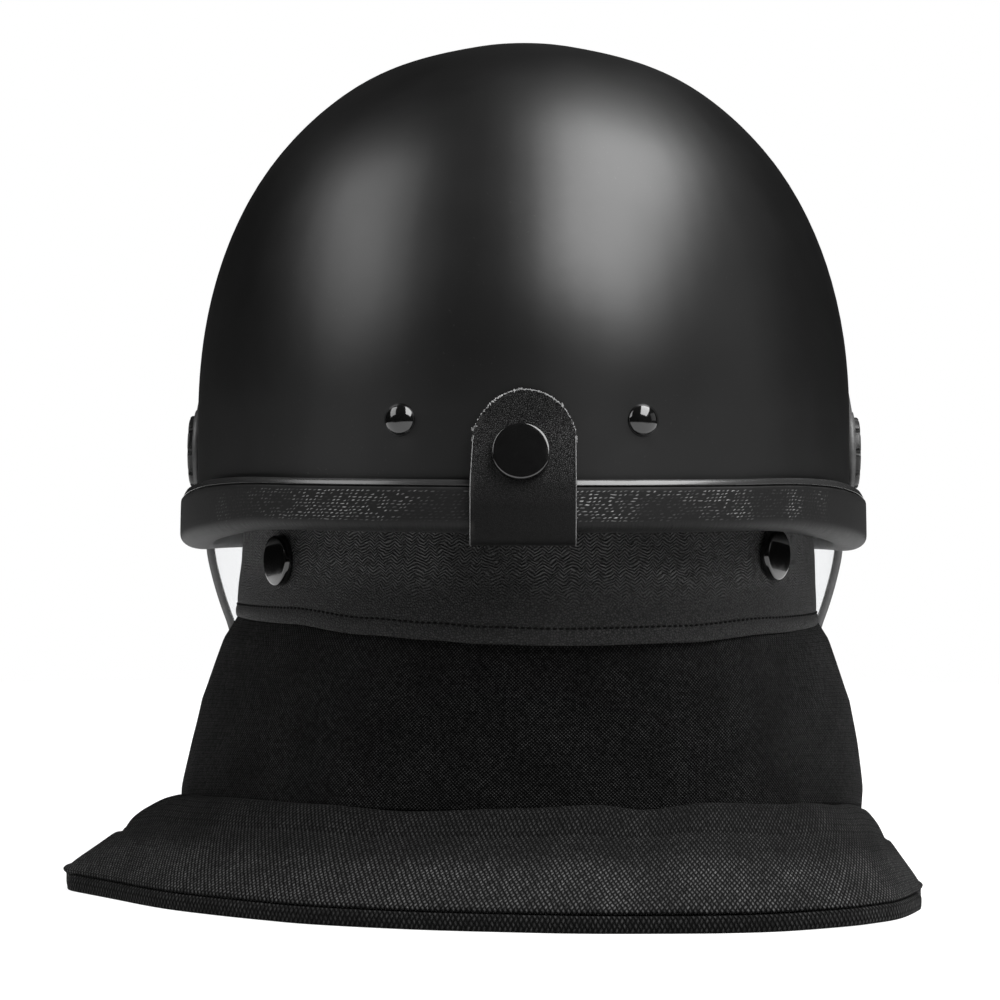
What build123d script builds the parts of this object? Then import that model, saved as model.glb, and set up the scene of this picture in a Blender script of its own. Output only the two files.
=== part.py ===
from build123d import *
import os
from functools import cache
from math import asin, cos, degrees, radians, sin

# Police riot helmet, in millimetres. Z is up, the wearer looks along -Y, and
# the origin lies on the table below the middle of the shell.

# Shell: half an oval egg on an upright foot that leans out a little
shell_half_width = 122.5
shell_rear = 143.0
shell_front = 149.0
shell_equator = 170.0
shell_rise = 142.2
shell_flare = 1.2
shell_wall = 4.0
dome_power = 2.2
dome_angles = (12, 26, 40, 54, 68, 80)
overrun = 20.0

# Edge trim: a rubber channel round the shell's rim, and the rim's side view
trim_height = 17.6
trim_proud = 5.3
trim_web = 3.0
trim_leg = 3.0
rim_rear_height = 136.6
rim_corner_height = 140.2
rim_ear_clearance = 3.8
rim_brow_height = 190.0
rim_corner_reach = 100.0
rim_ear_rear = 5.0
rim_ear_front = -72.0
rim_cheek_reach = -100.0
rim_cheek_height = 172.0
rim_long_bend = 200.0
rim_cheek_bend = 26.0
rim_brow_bend = 45.0

# Visor: a clear sheet on two pivots
pivot_reach = -28.0
pivot_height = 160.0
visor_half_width = 124.0
visor_reach = 152.0
visor_power = 2.6
visor_angles = (10, 22, 36, 50, 64, 78)
visor_wall = 3.0
visor_top = 223.0
visor_ear_radius = 16.0
visor_jaw_forward = 29.0
visor_jaw_height = 121.0
visor_hip_forward = 64.0
visor_hip_height = 88.0
visor_foot_forward = 100.0
visor_shoulder_forward = 77.0
visor_corner_round = 30.0
seal_lip = 7.6
seal_height = 9.0
seal_rear_forward = 80.0
brow_seal_height = 9.0
brow_seal_lift = 4.0
brow_seal_depth = 20.0
brow_seal_radius = 149.6
brow_seal_half_width = 84.0

# Pivot hardware, from the shell outwards and then inwards
base_radius = 16.0
base_face = 123.0
washer_radius = 12.5
washer_wall = 0.8
pivot_gap = 0.2
knob_radius = 13.8
knob_height = 2.0
knob_round = 0.9
knob_grips = 10
grip_radius = 1.6
screw_radius = 3.0
screw_fit = 0.08
screw_hole_gap = 0.4
driver_slot_width = 1.4
driver_slot_depth = 0.8
backing_radius = 9.0
backing_face = 107.0
nut_across = 11.0
nut_height = 3.4

# The rim passes below the pivot's base, and the dome's form goes on below the rim
rim_ear_height = pivot_height - base_radius - trim_height / 2 - rim_ear_clearance
dome_floor = rim_ear_height - trim_height * 3 / 2

# Impact liner and comfort pads
liner_wall = 18.0
liner_clearance = 9.0
liner_rear_height = pivot_height + backing_radius + liner_clearance
liner_brow_height = 216.0
liner_knee_reach = -46.0
liner_bend = 30.0
pad_gap = 0.3
crown_pad_radius = 55.0
crown_pad_wall = 10.0
side_pad_wall = 13.0
brow_pad_width = 132.0
brow_pad_low = 217.0
brow_pad_high = 246.0
nape_pad_width = 116.0
nape_pad_low = 153.0
nape_pad_high = 205.0
ear_pad_front = -52.0
ear_pad_rear = 34.0
ear_pad_low = 150.0
ear_pad_high = 214.0
pad_corner = 12.0

# Rear rivets and the hangers that they hold inside
rivet_spread = 41.0
rivet_height = 168.3
rivet_radius = 5.75
rivet_dome = 3.4
rivet_shank = 2.0
rivet_burr_radius = 5.0
rivet_burr_wall = 1.0
hanger_width = 20.0
hanger_wall = 1.6
hanger_bend = 8.0
hanger_fall = 27.0
hanger_foot = 39.0
hanger_reach = 22.4

# Neck guard: collar, panel and flange
guard_shift = -1.6
collar_half_width = 109.0
collar_rear = 118.0
collar_wall = 2.0
collar_top = 143.0
collar_hem = 95.5
collar_start = 7.0
snap_angle = 36.7
snap_height = 120.8
snap_radius = 9.2
snap_dome = 4.4
snap_stud_radius = 5.0
snap_stud_height = 2.6
panel_wall = 4.0
panel_top = 101.0
panel_foot = 36.0
panel_foot_half_width = 128.0
panel_foot_rear = 108.0
panel_foot_start = 14.0
flange_half_width = 152.0
flange_reach = 164.0
flange_edge = 8.0
flange_crest = 7.0
flange_left_shares = ((1.075, 0.285), (0.80, 0.64), (0.45, 0.88))
flange_right_shares = ((-0.37, 0.99), (-0.70, 0.885), (-0.90, 0.525))
flange_middle_shares = (-0.02, 0.995)
binding_wall = 1.2
binding_low = 1.6
binding_height = 4.6

# Rear tab: a leather strap over the trim with a snap cap
tab_width = 35.6
tab_wall = 2.0
tab_top = 179.0
tab_gap = 0.4
tab_lean = 1.0
tab_bend = 147.0
tab_rest = 169.0
tab_sweep = 12.0
tab_socket_radius = 4.2
tab_socket_height = 1.4
tab_post_radius = 2.6
tab_post_height = 1.2
tab_snap_height = 158.1

# Chin strap, buckle and cup
strap_width = 20.0
strap_wall = 1.6
anchor_wall = 2.0
anchor_radius = 9.5
anchor_tail = 22.0
anchor_gap = 0.3
strap_knee_drop = 5.5
strap_knee = pivot_height - anchor_tail - strap_knee_drop
strap_floor = 66.0
strap_half_span = 68.0
strap_knee_bend = 10.0
strap_chin_bend = 32.0
buckle_start = 14.0
buckle_length = 27.0
buckle_width = 31.0
buckle_height = 9.0
buckle_wall = 1.8
buckle_gap = 0.3
plug_start = buckle_start + buckle_length
plug_length = 12.0
plug_guide_width = 5.0
plug_guide_length = 17.0
prong_length = 15.0
prong_width = 6.6
prong_proud = 1.6
prong_window = 19.0
slider_length = 16.0
slider_width = 27.0
slider_height = 5.0
cup_width = 42.0
cup_length = 74.0
cup_wall = 3.0
cup_lip = 5.0


@cache
def dome(grow):
    """The shell's outer form as a full solid, grown outwards by a distance."""
    half_width = shell_half_width + grow
    rise = shell_rise + grow
    crown = shell_equator + rise
    arc_points = [
        (half_width * cos(radians(a)) ** (2 / dome_power),
         shell_equator + rise * sin(radians(a)) ** (2 / dome_power))
        for a in dome_angles
    ]
    with BuildSketch(Plane.XZ) as profile:
        with BuildLine():
            Spline((half_width, shell_equator), *arc_points, (0, crown),
                   tangents=[(0, 1), (-1, 0)])
            Polyline((0, crown), (0, dome_floor), (half_width + shell_flare, dome_floor),
                     (half_width, shell_equator))
        make_face()
    egg = revolve(profile.sketch, axis=Axis.Z)
    rear = scale(split(egg, bisect_by=Plane.XZ, keep=Keep.BOTTOM),
                 by=(1, (shell_rear + grow) / half_width, 1))
    front = scale(split(egg, bisect_by=Plane.XZ, keep=Keep.TOP),
                  by=(1, (shell_front + grow) / half_width, 1))
    return rear + front


def layer(outer, inner):
    """The space between two domes."""
    return dome(outer) - dome(inner)


far = shell_half_width + shell_front


@cache
def rim_zone(raised):
    """Everything above the rim line in side view, the line raised by a distance."""
    rim_points = [
        (far, rim_rear_height),
        (rim_corner_reach, rim_corner_height),
        (rim_ear_rear, rim_ear_height),
        (rim_ear_front, rim_ear_height),
        (rim_cheek_reach, rim_cheek_height),
        (rim_cheek_reach - trim_height, rim_brow_height),
        (-far, rim_brow_height),
    ]
    bends = [rim_long_bend, rim_long_bend, rim_cheek_bend, rim_cheek_bend, rim_brow_bend]
    with BuildSketch(Plane.YZ) as side:
        with BuildLine():
            FilletPolyline(*rim_points, radius=bends)
            Polyline((-far, rim_brow_height), (-far, far + shell_rise),
                     (far, far + shell_rise), (far, rim_rear_height))
        make_face()
        offset(amount=-raised, kind=Kind.INTERSECTION)
    return extrude(side.sketch, amount=far, both=True)


def side_prism(low, high, front, rear, corner):
    """A rounded box seen from the side, right through the helmet."""
    face = Plane.YZ * Pos((front + rear) / 2, (low + high) / 2) * \
        RectangleRounded(rear - front, high - low, corner)
    return extrude(face, amount=far, both=True)


def front_prism(width, low, high, corner, towards):
    """A rounded box seen from the front or rear, from the middle outwards."""
    face = Plane.XZ * Pos(0, (low + high) / 2) * RectangleRounded(width, high - low, corner)
    return extrude(face, amount=far * -towards)


def mirrored(part):
    """The part and its mirror image on the other side of the helmet."""
    return [part, mirror(part, about=Plane.YZ)]


def along_x(radius, inner_x, outer_x, reach=pivot_reach, height=pivot_height):
    """A cylinder along X between two places, on the pivot's line unless told."""
    length = outer_x - inner_x
    return Pos(inner_x + length / 2, reach, height) * Rot(0, 90, 0) * Cylinder(radius, length)


def make_shell():
    zone = rim_zone(trim_web - trim_height / 2)
    shell = layer(0, -shell_wall) & zone
    for hole in mirrored(along_x(screw_radius + screw_hole_gap, 0, far)):
        shell -= hole
    for side in (-1, 1):
        shell -= rivet_frame(side) * Cylinder(rivet_shank, overrun * 2)
    shell -= snap_frame() * Cylinder(rivet_shank, overrun * 2)
    return shell


def make_edge_trim():
    band = rim_zone(-trim_height / 2) - rim_zone(trim_height / 2)
    channel = layer(trim_proud, -shell_wall - trim_leg) & band
    return channel - (layer(0, -shell_wall) & rim_zone(trim_web - trim_height / 2))


def shell_rear_at(spread):
    """How far back the shell's outer face lies at its equator, off the middle."""
    return shell_rear * (1 - (spread / shell_half_width) ** 2) ** (1 / 2)


def rivet_frame(side):
    """The place of a rear rivet on the shell's outer face, Z outwards."""
    spread = side * rivet_spread
    slope = spread / shell_half_width ** 2 * shell_rear ** 2 / shell_rear_at(spread)
    return Plane(origin=(spread, shell_rear_at(spread), rivet_height), z_dir=(slope, 1, 0),
                 x_dir=(0, 0, 1))


def snap_frame():
    """The place of the rear snap's stud on the shell's outer face, Z outwards."""
    return Plane(origin=(0, shell_rear, tab_snap_height), z_dir=(0, 1, 0), x_dir=(0, 0, 1))


def dome_cap(radius, height):
    """A low dome on a flat round foot, standing on its frame's XY plane."""
    foot = height / 4
    with BuildSketch(Plane.XZ) as profile:
        with BuildLine():
            Polyline((0, 0), (radius, 0), (radius, foot))
            Spline((radius, foot), (0, height), tangents=[(0, 1), (-1, 0)])
            Line((0, height), (0, 0))
        make_face()
    return revolve(profile.sketch, axis=Axis.Z)


def make_rear_rivets():
    rivets = []
    depth = shell_wall + hanger_wall + rivet_burr_wall
    for side in (-1, 1):
        frame = rivet_frame(side)
        head = frame * dome_cap(rivet_radius, rivet_dome) - dome(0)
        length = depth + rivet_dome / 2
        shank = frame * Pos(0, 0, rivet_dome / 2 - length / 2) * Cylinder(rivet_shank, length)
        rivets.append(head + shank)
    return rivets


def make_hangers():
    """Two straps inside the shell, from the rivets down and in to the collar's back."""
    outer = [(hanger_bend, -shell_wall), (-hanger_bend, -shell_wall),
             (-hanger_fall, -hanger_reach), (-hanger_foot, -hanger_reach)]
    inner = [(up, out - hanger_wall) for up, out in reversed(outer)]
    hangers = []
    for side in (-1, 1):
        frame = rivet_frame(side)
        side_plane = Plane(origin=frame.origin, x_dir=frame.x_dir, z_dir=-frame.y_dir)
        strip = make_face(Polyline(*outer, *inner, close=True).edges())
        hanger = extrude(side_plane * strip, hanger_width / 2, both=True)
        hanger -= layer(0, -shell_wall)
        hanger -= oval_disc(collar_half_width, collar_rear)
        hangers.append(hanger - frame * Cylinder(rivet_shank, overrun * 2))
    return hangers


def make_rivet_burrs():
    burrs = []
    for side in (-1, 1):
        frame = rivet_frame(side)
        middle = shell_wall + hanger_wall + rivet_burr_wall / 2
        burr = frame * Pos(0, 0, -middle) * Cylinder(rivet_burr_radius, rivet_burr_wall)
        burrs.append(burr - frame * Cylinder(rivet_shank, overrun * 2))
    return burrs


def visor_plan(grow):
    """Half of the visor's outline from above, as a region open to the rear."""
    half_width = visor_half_width + grow
    reach = visor_reach + grow
    right = [
        (half_width * cos(radians(a)) ** (2 / visor_power),
         pivot_reach - reach * sin(radians(a)) ** (2 / visor_power))
        for a in visor_angles
    ]
    left = [(-x, y) for x, y in reversed(right)]
    nose = (0, pivot_reach - reach)
    back = pivot_reach + visor_ear_radius + overrun
    with BuildSketch() as plan:
        with BuildLine():
            Spline((half_width, pivot_reach), *right, nose, tangents=[(0, -1), (-1, 0)])
            Spline(nose, *left, (-half_width, pivot_reach), tangents=[(-1, 0), (0, 1)])
            Polyline((-half_width, pivot_reach), (-half_width, back), (half_width, back),
                     (half_width, pivot_reach))
        make_face()
    return plan.sketch


@cache
def visor_layer(outer, inner):
    """The upright space between two visor outlines."""
    return extrude(visor_plan(outer) - visor_plan(inner), amount=visor_top + seal_height)


def visor_side():
    """The visor's outline from the side, with its round ear at the pivot."""
    nose = pivot_reach - visor_reach - visor_wall - overrun
    foot = (pivot_reach - visor_foot_forward, 0)
    shoulder = (pivot_reach - visor_shoulder_forward, visor_top)
    with BuildSketch(Plane.YZ) as side:
        with BuildLine():
            FilletPolyline((nose, 0), foot,
                           (pivot_reach - visor_hip_forward, visor_hip_height),
                           (pivot_reach - visor_jaw_forward, visor_jaw_height),
                           (pivot_reach - visor_ear_radius, pivot_height),
                           radius=[visor_corner_round, visor_corner_round, visor_corner_round])
            FilletPolyline((pivot_reach, pivot_height + visor_ear_radius), shoulder,
                           (nose, visor_top), radius=visor_corner_round)
            Line((pivot_reach - visor_ear_radius, pivot_height),
                 (pivot_reach, pivot_height + visor_ear_radius))
            Line((nose, visor_top), (nose, 0))
        make_face()
        with Locations((pivot_reach, pivot_height)):
            Circle(visor_ear_radius)
    return side.sketch


@cache
def visor_side_prism():
    return extrude(visor_side(), amount=far, both=True)


def make_visor():
    sheet = visor_layer(visor_wall, 0) & visor_side_prism()
    hole = along_x(screw_radius + screw_fit, -far, far)
    return sheet - hole


def make_visor_seal():
    """A rubber lip bonded inside the visor's top edge."""
    front = pivot_reach - visor_reach
    rear = pivot_reach - seal_rear_forward
    box = Pos(0, (front + rear) / 2, visor_top - seal_height / 2) * \
        Box(far * 2, rear - front, seal_height)
    return visor_layer(0, -seal_lip) & box


def make_brow_seal():
    """A rubber ledge on the brow that the visor's lip comes down to."""
    rim_top = rim_brow_height + trim_height / 2
    box = Pos(0, -far / 2, rim_top + brow_seal_lift + brow_seal_height / 2) * \
        Box(brow_seal_half_width * 2, far, brow_seal_height)
    return layer(brow_seal_depth, 0) & box & along_x(brow_seal_radius, -far, far)


def make_pivot_base():
    disc = along_x(base_radius, base_face - overrun, base_face)
    return disc - dome(0) - along_x(screw_radius, 0, far)


def make_washers():
    inner = along_x(washer_radius, base_face, base_face + washer_wall)
    return inner - along_x(screw_radius, 0, far)


knob_face = visor_half_width + visor_wall + pivot_gap


def make_pivot_knob():
    """A low round knob with grip flutes, a sunk middle and a driver slot."""
    knob = along_x(knob_radius, knob_face, knob_face + knob_height)
    knob = fillet(knob.edges().group_by(Axis.X)[-1], knob_round)
    for step in range(knob_grips):
        turn = radians(step * 360 / knob_grips)
        knob -= along_x(grip_radius, knob_face, knob_face + knob_height,
                        pivot_reach + knob_radius * cos(turn), pivot_height + knob_radius * sin(turn))
    return knob - along_x(screw_radius, 0, far)


def make_pivot_screw():
    """A slotted stud that clamps the knob, base, backing and nut together."""
    tip = backing_face - anchor_wall - anchor_gap * 2 - nut_height
    screw = along_x(screw_radius, tip, knob_face + knob_height)
    slot = Pos(knob_face + knob_height, pivot_reach, pivot_height) * \
        Box(driver_slot_depth * 2, screw_radius * 2, driver_slot_width)
    return screw - slot


def make_backing():
    """The spacer between the shell's inside and the strap's anchor plate."""
    disc = along_x(backing_radius, backing_face, shell_half_width)
    return (disc & dome(-shell_wall)) - along_x(screw_radius, 0, far)


def make_pivot_nut():
    outer = backing_face - anchor_wall - anchor_gap * 2
    frame = Plane(origin=(outer, pivot_reach, pivot_height), z_dir=(-1, 0, 0))
    nut = extrude(frame * RegularPolygon(nut_across / 2, 6, major_radius=False), nut_height)
    return nut - along_x(screw_radius, 0, far)


def make_liner():
    """The foam liner, clear of the rivets, the pivots and the chin strap."""
    with BuildSketch(Plane.YZ) as side:
        with BuildLine():
            FilletPolyline((far, liner_rear_height), (liner_knee_reach, liner_rear_height),
                           (-shell_front, liner_brow_height), (-far, liner_brow_height),
                           radius=liner_bend)
            Polyline((-far, liner_brow_height), (-far, far + shell_rise), (far, far + shell_rise),
                     (far, liner_rear_height))
        make_face()
    zone = extrude(side.sketch, amount=far, both=True)
    return layer(-shell_wall, -shell_wall - liner_wall) & zone


liner_inside = -shell_wall - liner_wall


def make_crown_pad():
    crown = shell_equator + shell_rise + liner_inside
    drum = Pos(0, 0, crown) * Cylinder(crown_pad_radius, crown_pad_radius * 2)
    return layer(liner_inside - pad_gap, liner_inside - pad_gap - crown_pad_wall) & drum


def make_side_pads():
    """The brow, nape and ear pads, cut from one layer inside the liner."""
    skin = layer(liner_inside - pad_gap, liner_inside - pad_gap - side_pad_wall)
    brow = skin & front_prism(brow_pad_width, brow_pad_low, brow_pad_high, pad_corner, -1)
    nape = skin & front_prism(nape_pad_width, nape_pad_low, nape_pad_high, pad_corner, 1)
    ears = skin & side_prism(ear_pad_low, ear_pad_high, ear_pad_front, ear_pad_rear, pad_corner)
    right, left = ears.solids().sort_by(Axis.X)
    return brow, nape, left, right


def neck_arc(half_width, rear, start):
    """An oval arc round the back of the neck, from the left to the right."""
    angle = angle_at(rear, start)
    return EllipticalCenterArc((0, 0), half_width, rear, start_angle=angle,
                               arc_size=180 - angle * 2)


def angle_at(rear, start):
    """The oval's own angle at which it lies this far behind the middle."""
    return degrees(asin(start / rear))


def crescent(half_width, rear, wall, start):
    """A face between an oval arc and the same arc one wall further in."""
    with BuildSketch() as face:
        with BuildLine():
            outer = neck_arc(half_width, rear, start)
            inner = neck_arc(half_width - wall, rear - wall, start)
            Line(outer @ 0, inner @ 0)
            Line(outer @ 1, inner @ 1)
        make_face()
    return face.sketch


def make_collar():
    """The leather band that hangs inside the trim, open at the front."""
    face = crescent(collar_half_width, collar_rear, collar_wall, collar_start)
    return Pos(guard_shift, 0, collar_hem) * extrude(face, collar_top - collar_hem)


def collar_snap_frame(side):
    """The place of a side snap on the collar's outer face, Z outwards."""
    x = side * collar_half_width * cos(radians(snap_angle))
    y = collar_rear * sin(radians(snap_angle))
    normal = (x / collar_half_width ** 2, y / collar_rear ** 2, 0)
    return Plane(origin=(x + guard_shift, y, snap_height), z_dir=normal, x_dir=(0, 0, 1))


def oval_disc(half_width, rear):
    """A tall solid oval, to cut what seats on a neck band's face."""
    return Pos(guard_shift, 0, 0) * extrude(Ellipse(half_width, rear), collar_top)


def make_collar_snaps():
    """The two side snaps: caps outside the leather, studs inside it."""
    caps, studs = [], []
    for side in (-1, 1):
        frame = collar_snap_frame(side)
        cap = frame * Pos(0, 0, -collar_wall / 4) * dome_cap(snap_radius, snap_dome)
        caps.append(cap - oval_disc(collar_half_width, collar_rear))
        depth = collar_wall + snap_stud_height
        stud = frame * Pos(0, 0, -depth / 2) * Cylinder(snap_stud_radius, depth)
        stud &= oval_disc(collar_half_width - collar_wall, collar_rear - collar_wall)
        studs.append(stud)
    return caps, studs


def make_neck_panel():
    """The woven panel below the collar, leaning in at the back and out at the ends."""
    top = crescent(collar_half_width - collar_wall, collar_rear - collar_wall,
                   panel_wall, collar_start)
    foot = crescent(panel_foot_half_width, panel_foot_rear, panel_wall, panel_foot_start)
    faces = [Pos(guard_shift, 0, panel_foot) * foot, Pos(guard_shift, 0, collar_hem) * top]
    skirt = loft([face.faces()[0] for face in faces], ruled=True)
    tongue = Pos(guard_shift, 0, collar_hem) * extrude(top, panel_top - collar_hem)
    return skirt + tongue


def flange_point(share):
    return (share[0] * flange_half_width, share[1] * flange_reach)


def flange_rear_edge(grow):
    """The flange's rear edge seen from above, left to right, grown outwards."""
    shares = [*flange_left_shares, flange_middle_shares, *flange_right_shares]
    wider = (flange_half_width + grow) / flange_half_width
    return Spline(*[Vector(flange_point(share)) * wider for share in shares])


def flange_outline():
    """The flange seen from above: a rear edge, two ends and the panel's foot."""
    with BuildSketch() as outline:
        with BuildLine():
            rear = flange_rear_edge(0)
            foot = neck_arc(panel_foot_half_width - panel_wall, panel_foot_rear - panel_wall,
                            panel_foot_start)
            Line(rear @ 0, foot @ 0)
            Line(rear @ 1, foot @ 1)
        make_face()
    return outline.sketch


def make_neck_flange():
    """The padded flange, flat below, that slopes up to the panel's foot."""
    outline = flange_outline()
    crest = crescent(panel_foot_half_width + flange_crest, panel_foot_rear + flange_crest,
                     panel_wall + flange_crest, panel_foot_start)
    plate = extrude(outline, flange_edge)
    slope = loft([(Pos(0, 0, flange_edge) * outline).faces()[0],
                  (Pos(0, 0, panel_foot) * crest).faces()[0]], ruled=True)
    return Pos(guard_shift, 0, 0) * (plate + slope)


def make_flange_binding():
    """The tape sewn along the flange's rear edge."""
    with BuildSketch() as ring:
        with BuildLine():
            outer = flange_rear_edge(binding_wall)
            inner = flange_rear_edge(0)
            Line(outer @ 0, inner @ 0)
            Line(outer @ 1, inner @ 1)
        make_face()
    return Pos(guard_shift, 0, binding_low) * extrude(ring.sketch, binding_height)


trim_face = shell_rear + trim_proud + shell_flare + tab_gap
tab_foot = rim_rear_height - trim_height / 2 - tab_gap


def tab_path(shift):
    """The tab's face in side view, from its fold up to its top, moved back by a shift."""
    return [(trim_face + shift, tab_foot), (trim_face + shift, tab_bend),
            (shell_rear + tab_lean + shift, tab_rest), (shell_rear + tab_lean + shift, tab_top)]


tab_tilt = (trim_face - shell_rear - tab_lean) / (tab_rest - tab_bend)
tab_snap_reach = trim_face - (tab_snap_height - tab_bend) * tab_tilt


def tab_front(part):
    """The part cut to the tab's outline from behind, square below and round above."""
    outline = front_prism(tab_width, tab_foot - overrun, tab_top, tab_width / 2 - pivot_gap, 1)
    square = Pos(0, far / 2, tab_foot) * Box(tab_width, far, (tab_top - tab_foot) / 2)
    return part & (outline + square)


@cache
def make_rear_tab():
    with BuildSketch(Plane.YZ) as strip:
        with BuildLine():
            inner = FilletPolyline(*tab_path(0), radius=tab_wall * 3)
            outer = FilletPolyline(*tab_path(tab_wall), radius=tab_wall * 3)
            Line(inner @ 0, outer @ 0)
            Line(inner @ 1, outer @ 1)
        make_face()
    bend = shell_half_width ** 2 / shell_rear
    middle = Axis((0, shell_rear - bend, 0), (0, 0, 1))
    half = revolve(strip.sketch, axis=middle, revolution_arc=tab_sweep)
    tab = tab_front(half + mirror(half, about=Plane.YZ))
    return tab - tab_snap_frame() * Cylinder(rivet_shank, overrun)


def tab_snap_frame():
    """The place of the rear snap on the tab's outer face, Z outwards."""
    return Plane(origin=(0, tab_snap_reach + tab_wall, tab_snap_height),
                 z_dir=(0, 1, tab_tilt), x_dir=(1, 0, 0))


def make_tab_snap():
    """The glossy cap on the tab and the socket behind it."""
    frame = tab_snap_frame()
    depth = tab_wall * cos(radians(tab_sweep))
    cap = frame * dome_cap(snap_radius, snap_dome)
    shank = frame * Pos(0, 0, -depth / 2) * Cylinder(rivet_shank, depth)
    socket = frame * Pos(0, 0, -depth - tab_socket_height / 2) * \
        Cylinder(tab_socket_radius, tab_socket_height)
    return (cap + socket - make_rear_tab()) + shank


def make_snap_post():
    """The stud on the shell that the tab's socket snaps over, with its shank."""
    frame = snap_frame()
    post = frame * Cylinder(tab_post_radius, tab_post_height * 2) - dome(0)
    length = shell_wall + rivet_burr_wall + tab_post_height
    shank = frame * Pos(0, 0, tab_post_height - length / 2) * Cylinder(rivet_shank, length)
    return post + shank


def make_tab_anchor():
    """The fixed end of the tab's strap, under the trim and up the collar's outer face."""
    top = tab_foot - anchor_gap
    under = Pos(0, (trim_face + tab_wall) / 2, top - tab_wall / 2) * \
        Box(tab_width, trim_face + tab_wall, tab_wall)
    grown = extrude(Ellipse(collar_half_width + tab_wall, collar_rear + tab_wall), collar_top)
    flap_box = Pos(0, far / 2, (collar_top + top) / 2) * Box(tab_width, far, collar_top - top)
    flap = Pos(guard_shift, 0, 0) * grown & flap_box
    return under + flap - oval_disc(collar_half_width, collar_rear)


def strap_points(side):
    """The strap's line in front view on one side, from its anchor to its chin corner."""
    start = backing_face - anchor_gap - anchor_wall / 2
    return [(side * start, pivot_height - anchor_tail), (side * start, strap_knee),
            (side * strap_half_span, strap_floor)]


def make_webbing():
    """The whole strap under the chin, before the buckle parts it."""
    points = strap_points(1) + strap_points(-1)[::-1]
    bends = [strap_knee_bend, strap_chin_bend, strap_chin_bend, strap_knee_bend]
    with BuildLine(Plane.XZ.offset(-pivot_reach)) as path:
        FilletPolyline(*points, radius=bends)
    start = path.line @ 0
    with BuildSketch(Plane(origin=start, z_dir=path.line % 0, x_dir=(0, 1, 0))) as section:
        Rectangle(strap_width, strap_wall)
    return sweep(section.sketch, path=path.line)


def run_frame(side, along):
    """The place on a slanted run of the strap, X along it and Z outwards."""
    knee, corner = strap_points(side)[1:]
    run = Vector(corner[0] - knee[0], 0, corner[1] - knee[1])
    step = run.normalized()
    origin = Vector(knee[0], pivot_reach, knee[1]) + step * along
    return Plane(origin=origin, x_dir=step, z_dir=(-side * step.Z, 0, side * step.X))


def buckle_box(start, length, width, height):
    """A box centred across the strap, from a place along its slanted run."""
    return run_frame(1, start + length / 2) * Box(length, width, height)


def make_buckle_socket():
    body = buckle_box(buckle_start, buckle_length, buckle_width, buckle_height)
    body = fillet(body.edges().filter_by(lambda e: abs(e.length - buckle_height) < buckle_gap),
                  buckle_wall)
    inner = buckle_height - buckle_wall * 2
    mouth = buckle_length - prong_window
    hollow = buckle_box(buckle_start + mouth / 2, buckle_length, buckle_width - buckle_wall * 2,
                        inner)
    window = buckle_box(buckle_start + mouth / 2, prong_window, buckle_width * 2, inner)
    return body - hollow - window


def make_buckle_plug():
    """The plug's bar at the socket's mouth and its middle guide inside."""
    bar = buckle_box(plug_start, plug_length, buckle_width - buckle_wall, buckle_height - buckle_wall)
    bar = fillet(bar.edges().filter_by(
        lambda e: abs(e.length - buckle_height + buckle_wall) < buckle_gap), buckle_wall)
    guide = buckle_box(plug_start - plug_guide_length, plug_guide_length, plug_guide_width,
                       buckle_height - buckle_wall * 2 - buckle_gap * 2)
    return bar + guide


def make_prong(side):
    """One squeeze prong, standing a little out of the socket's side window."""
    height = buckle_height - buckle_wall * 2 - buckle_gap * 2
    middle = buckle_start + (buckle_length - prong_window) / 2 + prong_window / 2
    outside = buckle_width / 2 + prong_proud - prong_width / 2
    prong = Box(prong_length, prong_width, height)
    prong = fillet(prong.edges().filter_by(Axis.Z), prong_proud)
    spot = run_frame(1, middle)
    offset_y = outside if spot.y_dir.Y * side > 0 else -outside
    return spot * Pos(0, offset_y, 0) * prong


def make_slider():
    """The ladder slide that shortens the strap, on its other run."""
    body = run_frame(-1, plug_start) * Box(slider_length, slider_width, slider_height)
    return fillet(body.edges().filter_by(Axis.Y), buckle_wall / 2)


def make_chin_cup():
    """The soft cup below the strap, with a lip before and behind it."""
    under = strap_floor - strap_wall / 2
    outer = Pos(0, pivot_reach, under + (cup_lip - cup_wall) / 2) * \
        Box(cup_length, cup_width, cup_lip + cup_wall)
    outer = fillet(outer.edges().filter_by(Axis.Z), cup_lip)
    hollow = Pos(0, pivot_reach, under + cup_lip) * \
        Box(cup_length * 2, cup_width - cup_wall * 2, cup_lip * 2)
    return outer - hollow


def make_anchor_plate():
    """A steel plate that swings on the pivot screw and carries the webbing."""
    outer = backing_face - anchor_gap
    disc = along_x(anchor_radius, outer - anchor_wall, outer)
    tail = Pos(outer - anchor_wall / 2, pivot_reach, pivot_height - anchor_tail / 2) * \
        Box(anchor_wall, anchor_radius * 2, anchor_tail)
    return disc + tail - along_x(screw_radius + screw_fit, 0, far)


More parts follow.
